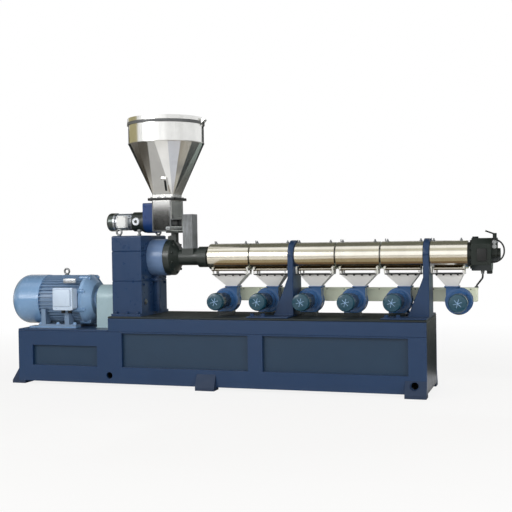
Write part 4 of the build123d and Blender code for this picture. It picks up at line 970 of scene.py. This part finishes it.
class EXTRUDER_OT_blowers(Operator):
    """Blowers: rolled scroll rims, fan caps and their pale ribs as a painted highlight, outlet bolts, duct
    lid and its screws
    """

    bl_idname = "extruder.blowers"
    bl_label = "Blower fittings"

    def execute(self, context):
        scroll_front, scroll_rear, scroll_shift = -0.015, 0.075, 0.014
        rib_start, rib_end, rib_reach, rib_radius = 0.0125, 0.0108, 0.034, 0.0022
        face_circle, face_proud, face_bolt = 0.073, 0.012, 0.010
        outlet_half, outlet_rows, outlet_drop, outlet_bolt = 0.050, (-0.020, 0.080), 0.008, 0.010
        lid_overhang, lid_gap, lid_skirt, lid_edge = 0.003, 0.0025, 0.016, 0.0015
        screw_count, screw_margin, screw_drop, screw_flats = 14, 0.05, 0.008, 0.008
        scroll_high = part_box("blower_scrolls")[1]
        motor_low, motor_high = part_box("blower_motors")
        duct_low, duct_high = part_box("wiring_duct")
        axis_z = (motor_low.z + motor_high.z) / 2
        rims = bmesh.new()
        caps = bmesh.new()
        ribs = bmesh.new()
        bolts = bmesh.new()
        for outlet, shaft in blower_places():
            centre = shaft + (scroll_shift if outlet > shaft else -scroll_shift)
            for y, way in ((scroll_front, FRONT), (scroll_rear, REAR)):
                add_turned(rims, SCROLL_RIM, (centre, y, axis_z), way, 40)
            cap = Vector((shaft, motor_low.y, axis_z))
            add_turned(caps, CAP_DOME, cap, FRONT, 40)
            # Pale ribs on each cap, in the shield's lightened enamel, paint the star highlight on the fan
            # caps.
            for angle in turns(6, 15):
                out = Vector((cos(angle), 0, sin(angle))) * rib_reach
                add_rod(ribs, cap + FRONT * rib_start, cap + FRONT * rib_end + out, rib_radius, 10)
            for angle in turns(4, 45):
                x, z = shaft + face_circle * cos(angle), axis_z + face_circle * sin(angle)
                add_bolt(rims, Vector((x, scroll_front - face_proud, z)), FRONT, face_bolt)
            for x in (outlet - outlet_half, outlet + outlet_half):
                for y in outlet_rows:
                    add_bolt(bolts, (x, y, scroll_high.z - outlet_drop), DOWN, outlet_bolt, washer=False)
        place_piece(rims, "scroll_rims", "blower_enamel_painted_shade")
        place_piece(caps, "fan_caps", "blower_motor_enamel_masked")
        place_piece(ribs, "cap_ribs_painted_highlight", "shield_enamel_painted_light")
        lid = bmesh.new()
        add_block(
            lid,
            (duct_low.x - lid_overhang, duct_low.y - lid_gap, duct_high.z - lid_skirt),
            (duct_high.x + lid_overhang, duct_high.y + lid_gap, duct_high.z + lid_gap),
            lid_edge,
        )
        # The duct lid takes the duct's lightened enamel, painted light.
        place_piece(lid, "duct_lid", "duct_enamel_painted_light")
        span = duct_high.x - duct_low.x - 2 * screw_margin
        for n in range(screw_count):
            x = duct_low.x + screw_margin + n * span / (screw_count - 1)
            spot = (x, duct_low.y - lid_gap, duct_high.z - screw_drop)
            add_bolt(bolts, spot, FRONT, screw_flats, washer=False)
        place_piece(bolts, "blower_bolts", "steel_blackened")
        return {"FINISHED"}


class EXTRUDER_OT_die_head(Operator):
    """Die head: heater plates, block nuts, clamp bolts, conduit glands"""

    bl_idname = "extruder.die_head"
    bl_label = "Die head fittings"

    def execute(self, context):
        heater_proud, heater_left, heater_right, heater_edge = 0.012, 0.045, 0.035, 0.006
        heater_low, heater_high = 0.052, 0.048
        nut_circle, nut_flats, top_steps, top_half = 0.110, 0.018, (0.014, 0.036), 0.045
        clamp_rises, end_half, end_rise = (0.094, 0.060), 0.042, 0.100
        flange_low, flange_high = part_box("barrel_flange")
        block_low, block_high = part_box("die_block")
        clamp_low, clamp_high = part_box("clamp_ring")
        axis_z = (flange_low.z + flange_high.z) / 2
        heater = bmesh.new()
        for y, out in ((block_low.y, -heater_proud), (block_high.y, heater_proud)):
            inner, outer = sorted((y, y + out))
            add_block(
                heater,
                (block_low.x + heater_left, inner, axis_z - heater_low),
                (block_high.x - heater_right, outer, axis_z + heater_high),
                heater_edge,
            )
        place_piece(heater, "die_heater", "rubber_moulded")
        nuts = bmesh.new()
        for seat in ring((block_low.x, 0, axis_z), 8, nut_circle, 22.5):
            add_bolt(nuts, seat, DRIVEWARD, nut_flats)
        for step in top_steps:
            for y in (-top_half, top_half):
                add_bolt(nuts, (block_low.x + step, y, block_high.z), UP, sizes().small_bolt)
        place_piece(nuts, "die_nuts", "steel_blackened")
        bolts = bmesh.new()
        clamp_x = (clamp_low.x + clamp_high.x) / 2
        for rise in clamp_rises:
            add_bolt(bolts, (clamp_x, clamp_low.y, axis_z + rise), FRONT, sizes().small_bolt)
            add_bolt(bolts, (clamp_x, clamp_high.y, axis_z + rise), REAR, sizes().small_bolt)
        for y in (-end_half, end_half):
            add_bolt(bolts, (clamp_high.x, y, axis_z + end_rise), DIEWARD, sizes().small_bolt)
        place_piece(bolts, "die_bolts", "zinc_plated_steel")
        low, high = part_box("head_conduit")
        glands = bmesh.new()
        add_turned(glands, CONDUIT_GLAND, (high.x - CONDUIT_BORE, low.y + CONDUIT_BORE, high.z), DOWN, 20)
        add_turned(glands, CONDUIT_GLAND[:4], (low.x + CONDUIT_BORE, high.y - CONDUIT_BORE, low.z), UP, 20)
        place_piece(glands, "conduit_glands", "steel_turned")
        return {"FINISHED"}


class EXTRUDER_OT_stage(Operator):
    """Floor, studio light and the camera at the photograph's viewing angle"""

    bl_idname = "extruder.stage"
    bl_label = "Stage and camera"

    def execute(self, context):
        scene = context.scene
        floor = bmesh.new()
        bmesh.ops.create_grid(floor, x_segments=1, y_segments=1, size=60)
        mesh = bpy.data.meshes.new("floor")
        floor.to_mesh(mesh)
        floor.free()
        ground = bpy.data.objects.new("floor", mesh)
        scene.collection.objects.link(ground)
        mesh.materials.append(self.screed())
        self.world(scene)
        for name, place, aim, size, power in LAMPS:
            lamp = bpy.data.lights.new(name, "AREA")
            lamp.shape = "RECTANGLE"
            lamp.size, lamp.size_y = size
            lamp.energy = power
            holder = bpy.data.objects.new(name, lamp)
            holder.visible_glossy = name == "key"
            scene.collection.objects.link(holder)
            facing = (Vector(aim) - Vector(place)).to_track_quat("-Z", "Y").to_matrix().to_4x4()
            holder.matrix_world = Matrix.Translation(place) @ facing
        for name, low, high, code, strength in CARDS:
            self.card(scene, name, Vector(low), Vector(high), code, strength)
        self.camera(scene)
        return {"FINISHED"}

    def card(self, scene, name, low, high, code, strength):
        """A plain card that only shows as a reflection in polished metal."""
        card_thickness = 0.001
        bm = bmesh.new()
        add_cube(bm, low, high, [max(part, card_thickness) for part in high - low])
        mesh = bpy.data.meshes.new(name)
        bm.to_mesh(mesh)
        bm.free()
        board = bpy.data.objects.new(name, mesh)
        scene.collection.objects.link(board)
        material = bpy.data.materials.new(name + "_board")
        material.use_nodes = True
        tree = material.node_tree
        tree.nodes.clear()
        glow = add_node(tree, "ShaderNodeEmission", {"Color": (*linear(code), 1), "Strength": strength})
        add_node(tree, "ShaderNodeOutputMaterial", {"Surface": glow.outputs[0]})
        mesh.materials.append(material)
        board.visible_camera = False
        board.visible_diffuse = False
        board.visible_shadow = False
        board.visible_transmission = False

    # Pale trowelled screed: the camera sees it near white, and it keeps a soft shadow.
    def screed(self):
        trowel_mm, shadow_reach, white_reach, shadow_share = 700, 2.4, 6.0, 0.86
        material, tree, shader, place = new_finish("screed_trowelled")
        tone = mottled(tree, place, trowel_mm, 4, 0.6, colours().floor, 0.97, 1.03)[1]
        fill(tree, shader, {"Base Color": tone.outputs[2], "Roughness": 0.7})
        ray = add_node(tree, "ShaderNodeLightPath")
        white = add_node(tree, "ShaderNodeEmission", {"Color": (1, 1, 1, 1), "Strength": 1})
        away = add_node(tree, "ShaderNodeVectorMath", {0: place}, operation="LENGTH")
        fade = add_node(
            tree, "ShaderNodeMapRange",
            {0: away.outputs["Value"], 1: shadow_reach, 2: white_reach, 3: shadow_share, 4: 1.0},
        )
        share = add_node(
            tree, "ShaderNodeMath", {0: ray.outputs["Is Camera Ray"], 1: fade.outputs[0]},
            operation="MULTIPLY",
        )
        mixed = add_node(
            tree, "ShaderNodeMixShader", {0: share.outputs[0], 1: shader.outputs[0], 2: white.outputs[0]}
        )
        output = next(node for node in tree.nodes if node.type == "OUTPUT_MATERIAL")
        tree.links.new(mixed.outputs[0], output.inputs["Surface"])
        return material

    def world(self, scene):
        """White to the camera and in reflections, and dimmer where it lights the machine."""
        light_strength = 0.40
        world = bpy.data.worlds.new("studio")
        scene.world = world
        world.use_nodes = True
        tree = world.node_tree
        tree.nodes.clear()
        ray = add_node(tree, "ShaderNodeLightPath")
        seen = add_node(
            tree, "ShaderNodeMath", {0: ray.outputs["Is Camera Ray"], 1: ray.outputs["Is Glossy Ray"]},
            operation="MAXIMUM",
        )
        clear = add_node(
            tree, "ShaderNodeMath", {0: seen.outputs[0], 1: ray.outputs["Is Transmission Ray"]},
            operation="MAXIMUM",
        )
        strength = add_node(
            tree, "ShaderNodeMapRange", {0: clear.outputs[0], 1: 0, 2: 1, 3: light_strength, 4: 1.0}
        )
        sky = add_node(
            tree, "ShaderNodeBackground", {"Color": (1, 1, 1, 1), "Strength": strength.outputs[0]}
        )
        add_node(tree, "ShaderNodeOutputWorld", {"Surface": sky.outputs[0]})

    def camera(self, scene):
        """The photograph's view: its focal length in pixels, and its horizon this far over the middle."""
        focal_pixels, picture_pixels, horizon_pixels, sensor_mm = 900, 512, 16, 36
        place = (2.4431, -7.1434, 1.2167)
        turn, dip, roll = radians(18), atan(horizon_pixels / focal_pixels), radians(-0.9)
        ahead = Vector((-sin(turn) * cos(dip), cos(turn) * cos(dip), -sin(dip)))
        right = Vector((cos(turn), sin(turn), 0))
        above = right.cross(ahead)
        across = cos(roll) * right + sin(roll) * above
        upward = -sin(roll) * right + cos(roll) * above
        lens = bpy.data.cameras.new("camera")
        lens.sensor_width = sensor_mm
        lens.lens = sensor_mm * focal_pixels / picture_pixels
        lens.clip_end = 200
        view = bpy.data.objects.new("camera", lens)
        scene.collection.objects.link(view)
        basis = Matrix((across, upward, -ahead)).transposed().to_4x4()
        view.matrix_world = Matrix.Translation(place) @ basis
        scene.camera = view
        scene.view_settings.view_transform = "Standard"


class EXTRUDER_PT_sidebar(Panel):
    """Lists the pieces and their colours and sizes"""

    bl_label = "Food extruder"
    bl_idname = "EXTRUDER_PT_sidebar"
    bl_space_type = "VIEW_3D"
    bl_region_type = "UI"
    bl_category = "Extruder"

    def draw(self, context):
        for step in STEPS:
            self.layout.operator(step.bl_idname)
        for group in (context.scene.extruder_colours, context.scene.extruder_sizes):
            box = self.layout.box()
            for name in group.__annotations__:
                box.prop(group, name)


STEPS = (
    EXTRUDER_OT_finishes,
    EXTRUDER_OT_base,
    EXTRUDER_OT_motor,
    EXTRUDER_OT_gearbox,
    EXTRUDER_OT_feeder,
    EXTRUDER_OT_hopper,
    EXTRUDER_OT_barrel,
    EXTRUDER_OT_blowers,
    EXTRUDER_OT_die_head,
    EXTRUDER_OT_stage,
)
CLASSES = (ExtruderColours, ExtruderSizes, *STEPS, EXTRUDER_PT_sidebar)


def register():
    for cls in CLASSES:
        bpy.utils.register_class(cls)
    bpy.types.Scene.extruder_colours = PointerProperty(type=ExtruderColours)
    bpy.types.Scene.extruder_sizes = PointerProperty(type=ExtruderSizes)


def unregister():
    del bpy.types.Scene.extruder_sizes
    del bpy.types.Scene.extruder_colours
    for cls in reversed(CLASSES):
        bpy.utils.unregister_class(cls)


def main():
    register()
    bpy.ops.extruder.finishes()
    bpy.ops.extruder.base()
    bpy.ops.extruder.motor()
    bpy.ops.extruder.gearbox()
    bpy.ops.extruder.feeder()
    bpy.ops.extruder.hopper()
    bpy.ops.extruder.barrel()
    bpy.ops.extruder.blowers()
    bpy.ops.extruder.die_head()
    bpy.ops.extruder.stage()


if __name__ == "__main__":
    main()
